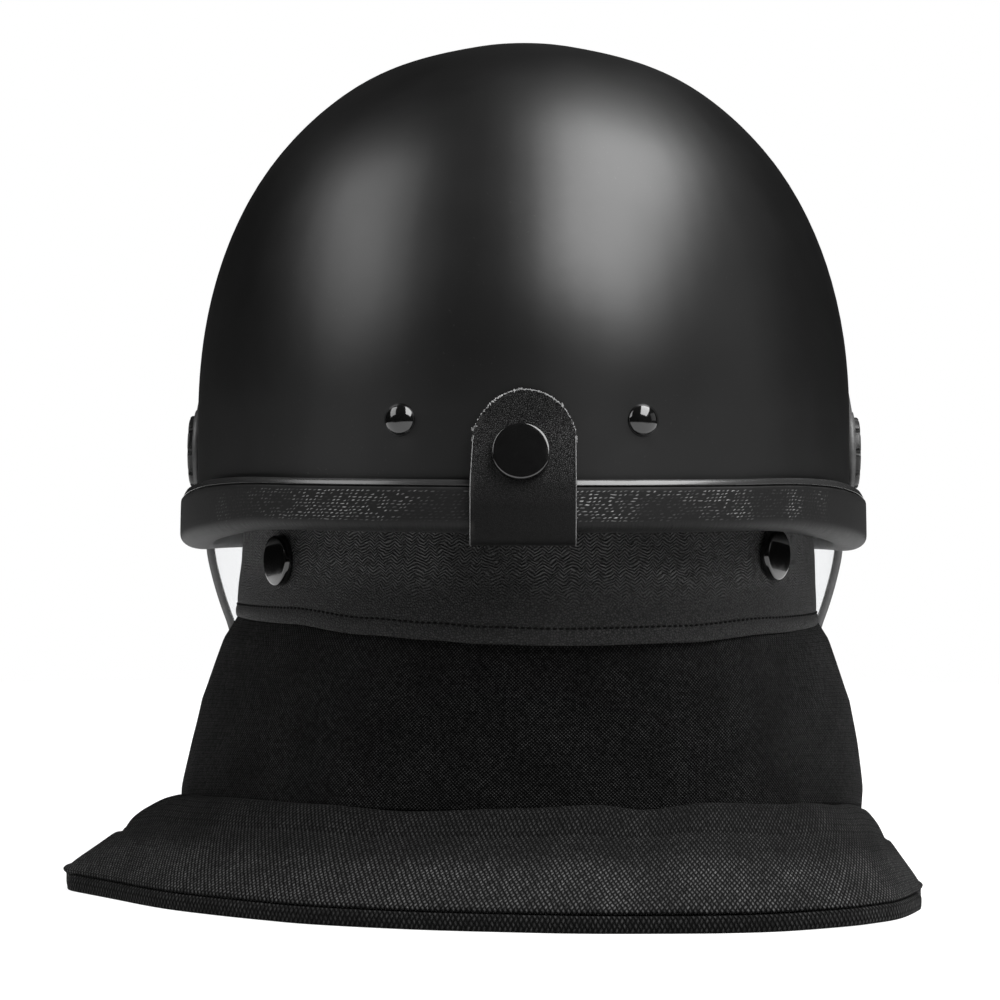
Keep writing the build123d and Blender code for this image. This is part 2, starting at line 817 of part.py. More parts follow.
def build_parts():
    """Every piece by its node name."""
    parts = {
        "shell": make_shell(),
        "edge_trim": make_edge_trim(),
        "impact_liner": make_liner(),
        "crown_pad": make_crown_pad(),
        "visor": make_visor(),
        "visor_seal": make_visor_seal(),
        "brow_seal": make_brow_seal(),
        "rear_rivets": Compound(make_rear_rivets()),
        "rear_hangers": Compound(make_hangers()),
        "rivet_burrs": Compound(make_rivet_burrs()),
        "pivot_bases": Compound(mirrored(make_pivot_base())),
        "pivot_washers": Compound(mirrored(make_washers())),
        "pivot_screws": Compound(mirrored(make_pivot_screw())),
        "pivot_backings": Compound(mirrored(make_backing())),
        "pivot_nuts": Compound(mirrored(make_pivot_nut())),
        "anchor_plates": Compound(mirrored(make_anchor_plate())),
    }
    parts["left_knob"], parts["right_knob"] = mirrored(make_pivot_knob())
    pads = make_side_pads()
    parts["brow_pad"], parts["nape_pad"], parts["left_ear_pad"], parts["right_ear_pad"] = pads

    caps, studs = make_collar_snaps()
    parts["collar"] = make_collar()
    parts["collar_snap_caps"] = Compound(caps)
    parts["collar_snap_studs"] = Compound(studs)
    parts["neck_panel"] = make_neck_panel()
    parts["neck_flange"] = make_neck_flange()
    parts["flange_binding"] = make_flange_binding()

    parts["rear_tab"] = make_rear_tab()
    parts["rear_tab_snap"] = make_tab_snap()
    parts["rear_snap_post"] = make_snap_post()
    parts["tab_anchor"] = make_tab_anchor()

    socket, plug, slider = make_buckle_socket(), make_buckle_plug(), make_slider()
    webbing = make_webbing()
    block = buckle_box(buckle_start, buckle_length + plug_length, buckle_width, buckle_height)
    long_strap, short_strap = (webbing - block).solids().sort_by(Axis.X)
    parts["strap_short"] = short_strap
    parts["strap_long"] = long_strap
    parts["buckle_socket"] = socket
    parts["buckle_plug"] = plug
    parts["front_prong"] = make_prong(-1)
    parts["rear_prong"] = make_prong(1)
    parts["strap_slider"] = slider - webbing
    parts["chin_cup"] = make_chin_cup()
    return parts


if __name__ == "__main__":
    os.makedirs("parts", exist_ok=True)
    for node, part in build_parts().items():
        part.label = node
        export_step(part, f"parts/{node}.step")
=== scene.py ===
"""A black police riot helmet, seen from behind, standing on its padded neck flange."""
import logging
import math
import random
from collections.abc import Callable, Sequence
from dataclasses import dataclass
from enum import Enum
from functools import partial, reduce

import bmesh
import bpy
from mathutils import Matrix, Vector, noise


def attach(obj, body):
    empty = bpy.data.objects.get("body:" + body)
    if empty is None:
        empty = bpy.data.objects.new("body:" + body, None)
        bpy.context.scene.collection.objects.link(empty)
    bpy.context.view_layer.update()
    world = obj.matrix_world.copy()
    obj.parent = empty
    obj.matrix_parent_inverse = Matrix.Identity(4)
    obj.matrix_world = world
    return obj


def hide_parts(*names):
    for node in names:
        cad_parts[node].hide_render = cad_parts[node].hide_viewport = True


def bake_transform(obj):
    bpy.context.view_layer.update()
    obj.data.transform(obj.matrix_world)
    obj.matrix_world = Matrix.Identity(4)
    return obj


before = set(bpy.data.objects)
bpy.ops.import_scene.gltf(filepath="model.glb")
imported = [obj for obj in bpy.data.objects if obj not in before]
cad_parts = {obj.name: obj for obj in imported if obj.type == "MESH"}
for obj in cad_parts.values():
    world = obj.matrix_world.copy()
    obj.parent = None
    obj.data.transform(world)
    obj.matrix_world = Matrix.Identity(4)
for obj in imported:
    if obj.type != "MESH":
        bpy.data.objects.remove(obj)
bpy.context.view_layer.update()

log = logging.getLogger("helmet")

Place = Callable[[float, float], Vector]
Socket = bpy.types.NodeSocket
Tree = bpy.types.NodeTree
Material = bpy.types.Material
Mesh = bmesh.types.BMesh
Piece = bpy.types.Object

WELD = 0.000004


class Body(Enum):
    """The moving bodies that pieces ride on."""

    HELMET = "helmet"
    VISOR = "visor_unit"
    TAB = "tab_unit"
    STRAP = "chin_strap"


class Side(Enum):
    """The wearer's left and right, as a sign along X."""

    LEFT = 1
    RIGHT = -1


class NodeBoard:
    """Places and joins the nodes of one material or node group."""

    def __init__(self, tree: Tree) -> None:
        """Takes the node tree that the nodes go into."""
        self.tree = tree

    def give(self, target: Socket, value: object) -> None:
        """Links a socket to an input, or sets the input's own value."""
        if isinstance(value, Socket):
            self.tree.links.new(value, target)
        else:
            target.default_value = value

    def add(self, kind: str, inputs: dict[str | int, object] | None = None, **options: object) -> bpy.types.Node:
        """Adds a node.

        Args:
            kind: The node's type name without its ShaderNode start.
            inputs: Values or sockets for the node's inputs.
            options: Settings of the node itself.

        Returns:
            The new node.
        """
        node = self.tree.nodes.new("ShaderNode" + kind)
        for name, value in options.items():
            setattr(node, name, value)
        for name, value in (inputs or {}).items():
            self.give(node.inputs[name], value)
        return node

    def math(self, operation: str, *values: float | Socket) -> Socket:
        """Adds a Math node and returns its result."""
        return self.add("Math", dict(enumerate(values)), operation=operation).outputs[0]

    def times(self, *values: float | Socket) -> Socket:
        """Multiplies values."""
        return reduce(partial(self.math, "MULTIPLY"), values)

    def plus(self, *values: float | Socket) -> Socket:
        """Adds values up."""
        return reduce(partial(self.math, "ADD"), values)

    def minus(self, first: float | Socket, second: float | Socket) -> Socket:
        """Takes the second value from the first."""
        return self.math("SUBTRACT", first, second)

    def over(self, first: float | Socket, second: float | Socket) -> Socket:
        """Divides the first value by the second."""
        return self.math("DIVIDE", first, second)

    def power(self, base: float | Socket, exponent: float) -> Socket:
        """Raises a value to a power."""
        return self.math("POWER", base, exponent)

    def parts(self, where: Socket) -> bpy.types.NodeOutputs:
        """The parts of a vector, named X, Y and Z."""
        return self.add("SeparateXYZ", {0: where}).outputs

    def remap(self, value: Socket, low: float, high: float, to_low: float = 0.0, to_high: float = 1.0) -> Socket:
        """Stretches a value from one range to another, clamped."""
        return self.add("MapRange", {"Value": value, "From Min": low, "From Max": high,
                                     "To Min": to_low, "To Max": to_high}).outputs[0]

    def noise(self, where: Socket, scale: float, detail: float = 2.0) -> Socket:
        """Adds a noise pattern and returns its value."""
        return self.add("TexNoise", {"Vector": where, "Scale": scale, "Detail": detail}).outputs["Fac"]

    def blend(self, share: float | Socket, first: object, second: object) -> Socket:
        """Mixes two colours."""
        return self.add("Mix", {0: share, 6: first, 7: second}, data_type="RGBA").outputs[2]

    def group(self, tree: Tree, **inputs: object) -> bpy.types.NodeOutputs:
        """Places a shared node group with its own values and returns its outputs."""
        return self.add("Group", inputs, node_tree=tree).outputs


class Effects:
    """The surface effects that several finishes share, each a node group made once."""

    def __init__(self) -> None:
        """Makes every group."""
        self.grain = self._grain()
        self.chevron = self._chevron()
        self.dashes = self._dashes()
        self.weave = self._weave()
        self.wear = self._wear()
        self.dust = self._dust()

    @staticmethod
    def _start(name: str, outputs: Sequence[str],
               **values: float) -> tuple[NodeBoard, bpy.types.NodeOutputs, bpy.types.NodeInputs]:
        """Makes an empty group that takes coordinates and values.

        Args:
            name: The group's name.
            outputs: The names of its value outputs.
            values: The first value of each value input.

        Returns:
            The board, what comes into the group and what goes out of it.
        """
        tree = bpy.data.node_groups.new(name, "ShaderNodeTree")
        tree.interface.new_socket("Where", in_out="INPUT", socket_type="NodeSocketVector")
        for label, value in values.items():
            tree.interface.new_socket(label, in_out="INPUT", socket_type="NodeSocketFloat").default_value = value
        for label in outputs:
            tree.interface.new_socket(label, in_out="OUTPUT", socket_type="NodeSocketFloat")
        return NodeBoard(tree), tree.nodes.new("NodeGroupInput").outputs, tree.nodes.new("NodeGroupOutput").inputs

    def _grain(self) -> Tree:
        """Small rounded cells with fine creases between, as on leather; the second output marks the creases for
        painted shade.
        """
        board, source, target = self._start("leather_grain", ["Height", "CreaseShade"], Scale=900)
        cells = board.add("TexVoronoi", {"Vector": source["Where"], "Scale": source["Scale"], "Randomness": 1.0},
                          feature="DISTANCE_TO_EDGE")
        crease = board.remap(cells.outputs[0], 0.0, 0.22)
        fine = board.noise(source["Where"], 1700, 3)
        board.give(target["Height"], board.plus(board.times(crease, 0.65), board.times(fine, 0.55)))
        # Painted shade: this mask is highest in the creases, which the leather paints darker.
        board.give(target["CreaseShade"], board.minus(1.0, crease))
        return board.tree

    def _chevron(self) -> Tree:
        """Short ridges that lie in a zigzag, on a UV map in metres."""
        board, source, target = self._start("chevron_ridges", ["Height"], Pitch=0.0012, Zigzag=0.006, Swing=0.0012)
        where = source["Where"]
        parts = board.parts(where)
        wobble = board.times(board.minus(board.noise(where, 110), 0.5), 1.5)
        across = board.plus(board.over(parts["X"], source["Zigzag"]), wobble)
        lift = board.times(board.math("PINGPONG", across, 0.5), source["Swing"], 2.0)
        rise = board.over(board.plus(parts["Y"], lift), source["Pitch"])
        ridges = board.math("SINE", board.times(rise, math.tau))
        broken = board.remap(board.noise(where, 420, 3), 0.34, 0.54, 0.3, 1.0)
        board.give(target["Height"], board.times(board.plus(board.times(ridges, 0.5), 0.5), broken))
        return board.tree

    def _dashes(self) -> Tree:
        """Short raised dashes in rows that step to and fro, on a UV map in metres."""
        board, source, target = self._start("short_dashes", ["Height"], Length=0.0020, Pitch=0.0011)
        where = source["Where"]
        parts = board.parts(where)
        wobble = board.minus(board.noise(where, 230), 0.5)
        down = board.plus(board.over(parts["Y"], source["Pitch"]), wobble)
        row = board.math("FLOOR", down)
        step = board.plus(board.times(board.math("PINGPONG", row, 4.0), 0.3), board.times(wobble, 1.6))
        run = board.plus(board.over(parts["X"], source["Length"]), step)
        cell = board.add("CombineXYZ", {0: board.math("FLOOR", run), 1: row}).outputs[0]
        chance = board.add("TexWhiteNoise", {"Vector": cell}, noise_dimensions="2D").outputs["Value"]
        ahead, above = (board.minus(board.math("FRACT", value), 0.5) for value in (run, down))
        above = board.plus(above, board.times(ahead, 0.45))
        long, tall = (board.power(board.over(board.math("ABSOLUTE", offset), size), 2.0)
                      for offset, size in ((ahead, 0.38), (above, 0.21)))
        dash = board.math("MAXIMUM", board.minus(1.0, board.plus(long, tall)), 0.0)
        board.give(target["Height"], board.times(dash, board.remap(chance, 0.15, 0.8)))
        return board.tree

    def _weave(self) -> Tree:
        """Threads that go over and under each other, on a UV map in metres; the Shade output is painted highlight on
        the thread tops and painted shade in the gaps between them, varied by random tone.
        """
        board, source, target = self._start("thread_weave", ["Height", "Shade"], Pitch=0.0014)
        where = source["Where"]
        parts = board.parts(where)
        wobble = board.times(board.minus(board.noise(where, 300), 0.5), 0.5)
        turns = (board.plus(board.over(parts[axis], source["Pitch"]), wobble) for axis in "XY")
        waves = [board.math("SINE", board.times(turn, math.pi)) for turn in turns]
        top = board.math("GREATER_THAN", board.times(*waves), 0.0)
        warp, weft = (board.math("ABSOLUTE", wave) for wave in waves)
        over = board.times(warp, board.power(weft, 0.4), top)
        under = board.times(weft, board.power(warp, 0.4), board.minus(1.0, top))
        height = board.plus(over, under)
        uneven = board.remap(board.noise(where, 520, 3), 0.35, 0.66, 0.25, 1.0)
        cloud = board.remap(board.noise(where, 60), 0.35, 0.65, 0.6, 1.0)
        board.give(target["Height"], height)
        # Painted highlight and shade: high thread tops give a bright shade, low gaps a dark one, varied by random
        # tone.
        board.give(target["Shade"], board.times(board.power(height, 3.1), uneven, cloud))
        return board.tree

    def _wear(self) -> Tree:
        """A mask of rubbed, proud edges."""
        board, source, target = self._start("edge_wear", ["Mask"], Amount=0.5)
        proud = board.remap(board.add("NewGeometry").outputs["Pointiness"], 0.52, 0.60)
        patchy = board.remap(board.noise(source["Where"], 120, 4), 0.42, 0.62)
        board.give(target["Mask"], board.times(proud, patchy, source["Amount"]))
        return board.tree

    def _dust(self) -> Tree:
        """A mask of sparse fine specks."""
        board, source, target = self._start("dust_specks", ["Mask"], Amount=0.3)
        specks = board.remap(board.noise(source["Where"], 900, 1), 0.70, 0.82)
        cloud = board.remap(board.noise(source["Where"], 22, 3), 0.40, 0.75)
        board.give(target["Mask"], board.times(specks, cloud, source["Amount"]))
        return board.tree


@dataclass(frozen=True)
class Finish:
    """What every finish shares: its name, a material with its shader, coordinates, wear and dust."""

    name: str
    effects: Effects

    def begin(self, **constants: float) -> tuple[Material, NodeBoard, bpy.types.Node, Socket, Socket]:
        """Starts the material.

        Args:
            constants: The shader's own values, each under its input's name with underscores.

        Returns:
            The material, its board, its shader, the object coordinates and the UV map.
        """
        material = bpy.data.materials.new(self.name)
        material.use_nodes = True
        board = NodeBoard(material.node_tree)
        where = board.add("TexCoord").outputs
        shader = material.node_tree.nodes["Principled BSDF"]
        for label, value in constants.items():
            shader.inputs[label.replace("_", " ")].default_value = value
        return material, board, shader, where["Object"], where["UV"]

    def worn(self, board: NodeBoard, where: Socket, amount: float) -> Socket:
        """The mask of rubbed edges."""
        return board.group(self.effects.wear, Where=where, Amount=amount)["Mask"]

    def dusty(self, board: NodeBoard, where: Socket, amount: float) -> Socket:
        """The mask of dust specks."""
        return board.group(self.effects.dust, Where=where, Amount=amount)["Mask"]

    @staticmethod
    def join(board: NodeBoard, shader: bpy.types.Node, color: Socket,
             roughness: Socket | None = None, height: Socket | None = None, depth: float = 0.0001) -> None:
        """Links the changing values to the shader, the height through a bump."""
        board.give(shader.inputs["Base Color"], color)
        if roughness is not None:
            board.give(shader.inputs["Roughness"], roughness)
        if height is not None:
            bump = board.add("Bump", {"Height": height, "Distance": depth, "Strength": 1.0})
            board.give(shader.inputs["Normal"], bump.outputs[0])


def gray(value: float, warm: float = 0.0) -> tuple[float, float, float, float]:
    """A near-neutral colour, a little warmer or cooler."""
    return (value * (1 + warm), value, value * (1 - warm), 1.0)


@dataclass(frozen=True)
class MouldedFinish(Finish):
    """Moulded or sprayed plastic, foam and rubber: one colour with a fine tooth."""

    color: float
    roughness: float
    tooth: float = 1400.0
    depth: float = 0.00003
    wear: float = 0.3
    specular: float = 0.5
    beads: bool = False

    def make(self) -> Material:
        """Builds the material."""
        material, board, shader, where, _ = self.begin(Specular_IOR_Level=self.specular)
        height = board.noise(where, self.tooth, 3)
        cloud = board.noise(where, 18, 3)
        worn = self.worn(board, where, self.wear)
        color = board.blend(cloud, gray(self.color * 0.85), gray(self.color * 1.15))
        color = board.blend(worn, color, gray(self.color * 3 + 0.02))
        color = board.blend(self.dusty(board, where, 0.25), color, gray(0.16, 0.04))
        rough = board.remap(cloud, 0.3, 0.7, self.roughness - 0.03, self.roughness + 0.03)
        rough = board.plus(rough, board.times(worn, 0.15))
        if self.beads:
            cells = board.add("TexVoronoi", {"Vector": where, "Scale": 320.0}, feature="DISTANCE_TO_EDGE")
            height = board.plus(board.remap(cells.outputs[0], 0.0, 0.25), board.times(height, 0.2))
        self.join(board, shader, color, rough, height, self.depth)
        return material


@dataclass(frozen=True)
class GlossFinish(Finish):
    """Hard gloss enamel on steel, under a clear coat."""

    color: float = 0.006
    roughness: float = 0.09

    def make(self) -> Material:
        """Builds the material."""
        material, board, shader, where, _ = self.begin(Coat_Weight=0.6, Coat_Roughness=0.04)
        color = board.blend(self.dusty(board, where, 0.15), gray(self.color), gray(0.10))
        color = board.blend(self.worn(board, where, 0.15), color, gray(0.08))
        rough = board.remap(board.noise(where, 260, 3), 0.35, 0.7, self.roughness, self.roughness + 0.07)
        self.join(board, shader, color, rough, board.noise(where, 700, 1), 0.000006)
        return material


@dataclass(frozen=True)
class SteelFinish(Finish):
    """Plain turned steel with fine scratches."""

    color: float = 0.52

    def make(self) -> Material:
        """Builds the material."""
        material, board, shader, where, _ = self.begin(Metallic=1.0)
        streaks = board.add("Mapping", {"Vector": where, "Scale": (60, 900, 900)}).outputs[0]
        brushed = board.noise(streaks, 3, 3)
        color = board.blend(board.noise(where, 90, 3), gray(self.color * 0.8), gray(self.color * 1.1))
        self.join(board, shader, color, board.remap(brushed, 0.3, 0.7, 0.26, 0.42), brushed, 0.00001)
        return material


@dataclass(frozen=True)
class LeatherFinish(Finish):
    """Grained black leather, on a UV map in metres, whose upper part carries the most relief and the most painted
    highlight: its proud grain is painted lighter as glints.
    """

    color: float = 0.016
    roughness: float = 0.46
    chevrons: bool = False
    ridges: tuple[float, float, float] = (0.00112, 0.0052, 0.0017)
    # Rows of the UV map over which the relief and the painted glints grow to full strength.
    high: tuple[float, float] = (0.010, 0.024)
    low_share: float = 0.12
    cells: float = 1100.0
    # How much lighter the proud grain is painted, as a painted highlight.
    glint: float = 3.0
    depth: float = 0.0002
    specular: float = 0.28

    def make(self) -> Material:
        """Builds the material."""
        material, board, shader, where, cloth = self.begin(Specular_IOR_Level=self.specular)
        grain = board.group(self.effects.grain, Where=where, Scale=self.cells)
        height = grain["Height"]
        high = board.remap(board.parts(cloth)["Y"], *self.high, self.low_share, 1.0)
        color = board.blend(board.noise(where, 40, 3), gray(self.color * 0.7), gray(self.color * 1.3, 0.02))
        # Painted shade: the creases between the grain cells are painted darker.
        color = board.blend(grain["CreaseShade"], color, gray(self.color * 0.15))
        # Painted highlight: the proud grain tops are painted lighter as glints.
        proud = board.power(board.remap(height, 0.45, 1.05), 2.0)
        if self.chevrons:
            color = board.blend(proud, color, gray(self.color * self.glint))
            pitch, zigzag, swing = self.ridges
            ridges = board.group(self.effects.chevron, Where=cloth, Pitch=pitch, Zigzag=zigzag, Swing=swing)["Height"]
            share = board.times(board.remap(board.noise(where, 24), 0.30, 0.50, 0.5, 1.0), high)
            ridges = board.times(ridges, share)
            height = board.plus(board.times(height, 0.6), ridges)
            # Painted highlight and shade: the ridge crests are painted far lighter and the troughs darker.
            ridge_highlight_and_shade = board.blend(ridges, gray(self.color * 0.05), gray(self.color * 17))
            color = board.blend(board.times(share, 0.85), color, ridge_highlight_and_shade)
        else:
            # Painted highlight: glints on the proud grain, strongest on the upper part.
            color = board.blend(board.times(proud, high), color, gray(self.color * self.glint))
            height = board.times(height, high)
        color = board.blend(self.worn(board, where, 0.35), color, gray(0.06, 0.03))
        rough = board.remap(height, 0.2, 1.1, self.roughness + 0.22, self.roughness - 0.06)
        self.join(board, shader, color, rough, height, self.depth)
        return material


@dataclass(frozen=True)
class ClothFinish(Finish):
    """Woven black nylon, on a UV map in metres, its threads turned by an angle. On the flange, the rows above its
    rounded nose are painted darker as shade, so that the nose reads as lit.
    """

    color: float = 0.03
    pitch: float = 0.0015
    turn: float = 45.0
    roughness: float = 0.62
    depth: float = 0.0005
    specular: float = 0.16
    stretch: float = 1.0
    # Rows of the UV map over which the painted shade above the flange's nose fades out; nothing is painted when
    # unset.
    painted_nose_light: tuple[float, float] | None = None

    def make(self) -> Material:
        """Builds the material."""
        material, board, shader, where, cloth = self.begin(
            Sheen_Weight=0.02, Sheen_Roughness=0.45, Specular_IOR_Level=self.specular)
        turned = board.add("Mapping", {"Vector": cloth, "Scale": (1, self.stretch, 1),
                                       "Rotation": (0, 0, math.radians(self.turn))}).outputs[0]
        weave = board.group(self.effects.weave, Where=turned, Pitch=self.pitch)
        height, shade = weave["Height"], weave["Shade"]
        # Painted light and shade: rows above the nose are darkened to less than half, the nose keeps full brightness.
        if self.painted_nose_light:
            shade = board.times(shade, board.remap(board.parts(cloth)["Y"], *self.painted_nose_light, 0.45, 1.0))
        # Painted highlight and shade: thread tops are painted up to twice the colour, the gaps down to a twentieth of
        # it.
        color = board.blend(shade, gray(self.color * 0.05), gray(self.color * 2.0))
        color = board.blend(self.dusty(board, where, 0.2), color, gray(0.09, 0.03))
        rough = board.remap(height, 0.1, 0.9, self.roughness + 0.25, self.roughness)
        height = board.plus(height, board.times(board.noise(where, 1800), 0.25))
        self.join(board, shader, color, rough, height, self.depth)
        return material


@dataclass(frozen=True)
class LiningFinish(Finish):
    """Brushed lining cloth over foam."""

    color: float = 0.03

    def make(self) -> Material:
        """Builds the material."""
        material, board, shader, where, _ = self.begin(Sheen_Weight=0.35, Sheen_Roughness=0.5)
        nap = board.noise(where, 1500, 4)
        mesh = board.add("TexVoronoi", {"Vector": where, "Scale": 620.0}, feature="F1").outputs["Distance"]
        color = board.blend(nap, gray(self.color * 0.6), gray(self.color * 1.6, 0.02))
        color = board.blend(self.dusty(board, where, 0.3), color, gray(0.15, 0.04))
        height = board.plus(mesh, board.times(nap, 0.6))
        self.join(board, shader, color, board.remap(nap, 0.3, 0.7, 0.8, 0.95), height, 0.00018)
        return material


@dataclass(frozen=True)
class RubberFinish(Finish):
    """Matt rubber pressed with rows of short dashes on its outer face, on a UV map in metres. The dashes are also
    painted pale as glints, only over the rear, and the streaked foot below the face is painted lighter as light from
    the floor below.
    """

    color: float = 0.008
    roughness: float = 0.5
    face: tuple[float, float] = (0.0085, 0.0196)
    # Object Y over which the dashes and their painted glints fade in at the rear.
    rear: tuple[float, float] = (0.080, 0.105)

    def make(self) -> Material:
        """Builds the material."""
        material, board, shader, where, cloth = self.begin(Specular_IOR_Level=0.2)
        down = board.parts(cloth)["Y"]
        start, end = self.face
        on_face = board.times(board.remap(down, start, start + 0.001), board.remap(down, end, end - 0.001))
        patchy = board.remap(board.noise(where, 30), 0.45, 0.58, 0.05, 1.0)
        # The dashes, with their relief and their painted glints, are kept to the rear.
        at_rear = board.remap(board.parts(where)["Y"], *self.rear)
        dashes = board.times(board.group(self.effects.dashes, Where=cloth)["Height"], on_face, patchy, at_rear)
        streaks = board.add("Mapping", {"Vector": cloth, "Scale": (1400, 160, 1)}).outputs[0]
        foot = board.times(board.remap(down, end - 0.001, end + 0.002), board.noise(streaks, 1))
        fine = board.noise(where, 1300, 3)
        height = board.plus(dashes, board.times(fine, 0.3), board.times(foot, 0.5))
        color = board.blend(board.noise(where, 30, 3), gray(self.color * 0.6), gray(self.color * 1.4))
        # Painted highlight: the dashes are painted pale as glints.
        color = board.blend(board.power(dashes, 0.9), color, gray(0.42))
        # Painted light: the streaked foot below the face is painted lighter, as light from the floor below, over its
        # own streaks.
        color = board.blend(board.times(foot, 0.7), color, gray(self.color * 5))
        color = board.blend(self.worn(board, where, 0.4), color, gray(0.07))
        rough = board.remap(height, 0.1, 1.0, self.roughness + 0.14, self.roughness - 0.1)
        self.join(board, shader, color, rough, height, 0.00032)
        return material


@dataclass(frozen=True)
class ClearFinish(Finish):
    """Clear polycarbonate sheet."""

    tint: tuple[float, float, float, float] = (0.905, 0.912, 0.92, 1.0)

    def make(self) -> Material:
        """Builds the material."""
        material, board, shader, where, _ = self.begin(Transmission_Weight=1.0, IOR=1.58)
        color = board.blend(self.dusty(board, where, 0.05), self.tint, gray(0.8))
        rough = board.remap(board.noise(where, 40, 4), 0.35, 0.7, 0.012, 0.04)
        self.join(board, shader, color, rough, board.noise(where, 25, 1), 0.00002)
        return material


@dataclass(frozen=True)
class CutEdgeFinish(Finish):
    """The sawn, half clear edge of the visor's sheet, or the raw edge of a hide."""

    color: float = 0.075
    roughness: float = 0.42
    fibres: float = 500.0
    depth: float = 0.00005

    def make(self) -> Material:
        """Builds the material."""
        material, board, shader, where, _ = self.begin()
        marks = board.noise(where, self.fibres, 4)
        color = board.blend(marks, gray(self.color * 0.6), gray(self.color * 1.4))
        color = board.blend(self.worn(board, where, 0.5), color, gray(self.color * 2))
        rough = board.remap(marks, 0.3, 0.7, self.roughness - 0.1, self.roughness + 0.1)
        self.join(board, shader, color, rough, marks, self.depth)
        return material


@dataclass(frozen=True)
class Wardrobe:
    """All finishes of the helmet, made once."""

    shell: Material
    rubber: Material
    lip_rubber: Material
    plain_rubber: Material
    clear: Material
    sheet_edge: Material
    collar: Material
    tab: Material
    raw_edge: Material
    panel: Material
    flange: Material
    webbing: Material
    lining: Material
    foam: Material
    enamel: Material
    steel: Material
    plastic: Material
    thread: Material

    @classmethod
    def stitched(cls) -> "Wardrobe":
        """Makes the whole set."""
        effects = Effects()
        return cls(
            shell=MouldedFinish("satin_black_shell", effects, 0.003, 0.39, tooth=500, depth=0.000012,
                                wear=0.1, specular=0.56).make(),
            # The trim's rubber, with painted glints on its dashes and painted floor light on its foot.
            rubber=RubberFinish("dashed_rubber", effects).make(),
            # Painted highlight: the lip is the trim's rubber in a lighter colour, so that it shows as a bright band;
            # its smoother, glossier finish is real.
            lip_rubber=MouldedFinish("lip_rubber_painted_highlight", effects, 0.03, 0.24, tooth=600, depth=0.00001,
                                     wear=0.6, specular=0.7).make(),
            plain_rubber=MouldedFinish("plain_rubber", effects, 0.02, 0.55, tooth=900, depth=0.00004).make(),
            clear=ClearFinish("clear_sheet", effects).make(),
            sheet_edge=CutEdgeFinish("sawn_sheet_edge", effects).make(),
            # Painted highlight and shade on the collar's chevron ridges, and painted glints on its grain.
            collar=LeatherFinish("collar_leather", effects, color=0.014, chevrons=True, depth=0.0007).make(),
            # Painted highlight: the tab's grain is painted up to eleven times lighter as glints on its upper,
            # upward-tilted part.
            tab=LeatherFinish("tab_leather", effects, color=0.005, roughness=0.42, high=(0.058, 0.074),
                              low_share=0.08, cells=1700.0, glint=11.0, depth=0.0005,
                              specular=0.15).make(),
            raw_edge=CutEdgeFinish("raw_hide_edge", effects, 0.27, 0.85, 900, 0.0004).make(),
            # The cloths' thread tops and gaps are painted lighter and darker by the weave, as painted highlight and
            # shade.
            panel=ClothFinish("panel_nylon", effects, color=0.040, pitch=0.00092, specular=0.03).make(),
            # The flange's rows above its rounded nose are painted darker as shade.
            flange=ClothFinish("flange_nylon", effects, color=0.086, pitch=0.0013, stretch=0.6, depth=0.0007,
                               specular=0.05, painted_nose_light=(0.034, 0.046)).make(),
            webbing=ClothFinish("strap_webbing", effects, color=0.030, pitch=0.0011, turn=0.0).make(),
            lining=LiningFinish("brushed_lining", effects).make(),
            foam=MouldedFinish("bead_foam", effects, 0.035, 0.7, tooth=1200, depth=0.00025, beads=True).make(),
            enamel=GlossFinish("gloss_enamel", effects).make(),
            steel=SteelFinish("plain_steel", effects).make(),
            plastic=MouldedFinish("moulded_nylon", effects, 0.016, 0.34, tooth=1100, depth=0.00003,
                                  wear=0.5).make(),
            thread=ClothFinish("sewing_thread", effects, color=0.004, pitch=0.0004).make(),
        )


def held(value: float) -> float:
    """Keeps a value between 0 and 1."""
    return min(max(value, 0.0), 1.0)


def eased(share: float) -> float:
    """Makes a share start and end softly."""
    return share * share * (3 - 2 * share)


def stand_at(place: Vector, normal: Vector, axes: str = "ZX") -> Matrix:
    """The frame of a piece that stands on a face."""
    return Matrix.Translation(place) @ normal.to_track_quat(*axes).to_matrix().to_4x4()


def mapped_grid(columns: int, rows: int, place: Place, cloth: tuple[float, float] = (1.0, 1.0)) -> Mesh:
    """Lays a grid over a surface.

    Args:
        columns: Steps across.
        rows: Steps along.
        place: Gives the point for shares across and along.
        cloth: The surface's size in metres, for its UV map.

    Returns:
        The mesh.
    """
    mesh = bmesh.new()
    uv = mesh.loops.layers.uv.new("UVMap")
    bmesh.ops.create_grid(mesh, x_segments=columns, y_segments=rows, size=0.5)
    spots = {vert: (vert.co.x + 0.5, vert.co.y + 0.5) for vert in mesh.verts}
    for face in mesh.faces:
        for loop in face.loops:
            across, along = spots[loop.vert]
            loop[uv].uv = (across * cloth[0], along * cloth[1])
    for vert, spot in spots.items():
        vert.co = place(*spot)
    return mesh


def true_lengths(mesh: Mesh, section: "Line") -> None:
    """Makes a closed grid's UV map follow the real lengths along its section."""
    uv = mesh.loops.layers.uv.verify()
    rows = len(section.points) - 1
    for face in mesh.faces:
        for loop in face.loops:
            loop[uv].uv.y = section.marks[round(loop[uv].uv.y * rows)]


def spun(profile: Sequence[tuple[float, float]], steps: int, place: Matrix) -> Mesh:
    """Turns a profile round its own upright axis.

    Args:
        profile: Radius and height pairs.
        steps: How many steps go round.
        place: Where the turned piece goes.

    Returns:
        The mesh.
    """
    mesh = bmesh.new()
    verts = [mesh.verts.new((radius, 0, height)) for radius, height in profile]
    edges = [mesh.edges.new(pair) for pair in zip(verts, verts[1:])]
    bmesh.ops.spin(mesh, geom=verts + edges, cent=(0, 0, 0), axis=(0, 0, 1), angle=math.tau, steps=steps,
                   use_merge=True)
    bmesh.ops.transform(mesh, matrix=place, verts=mesh.verts)
    return mesh


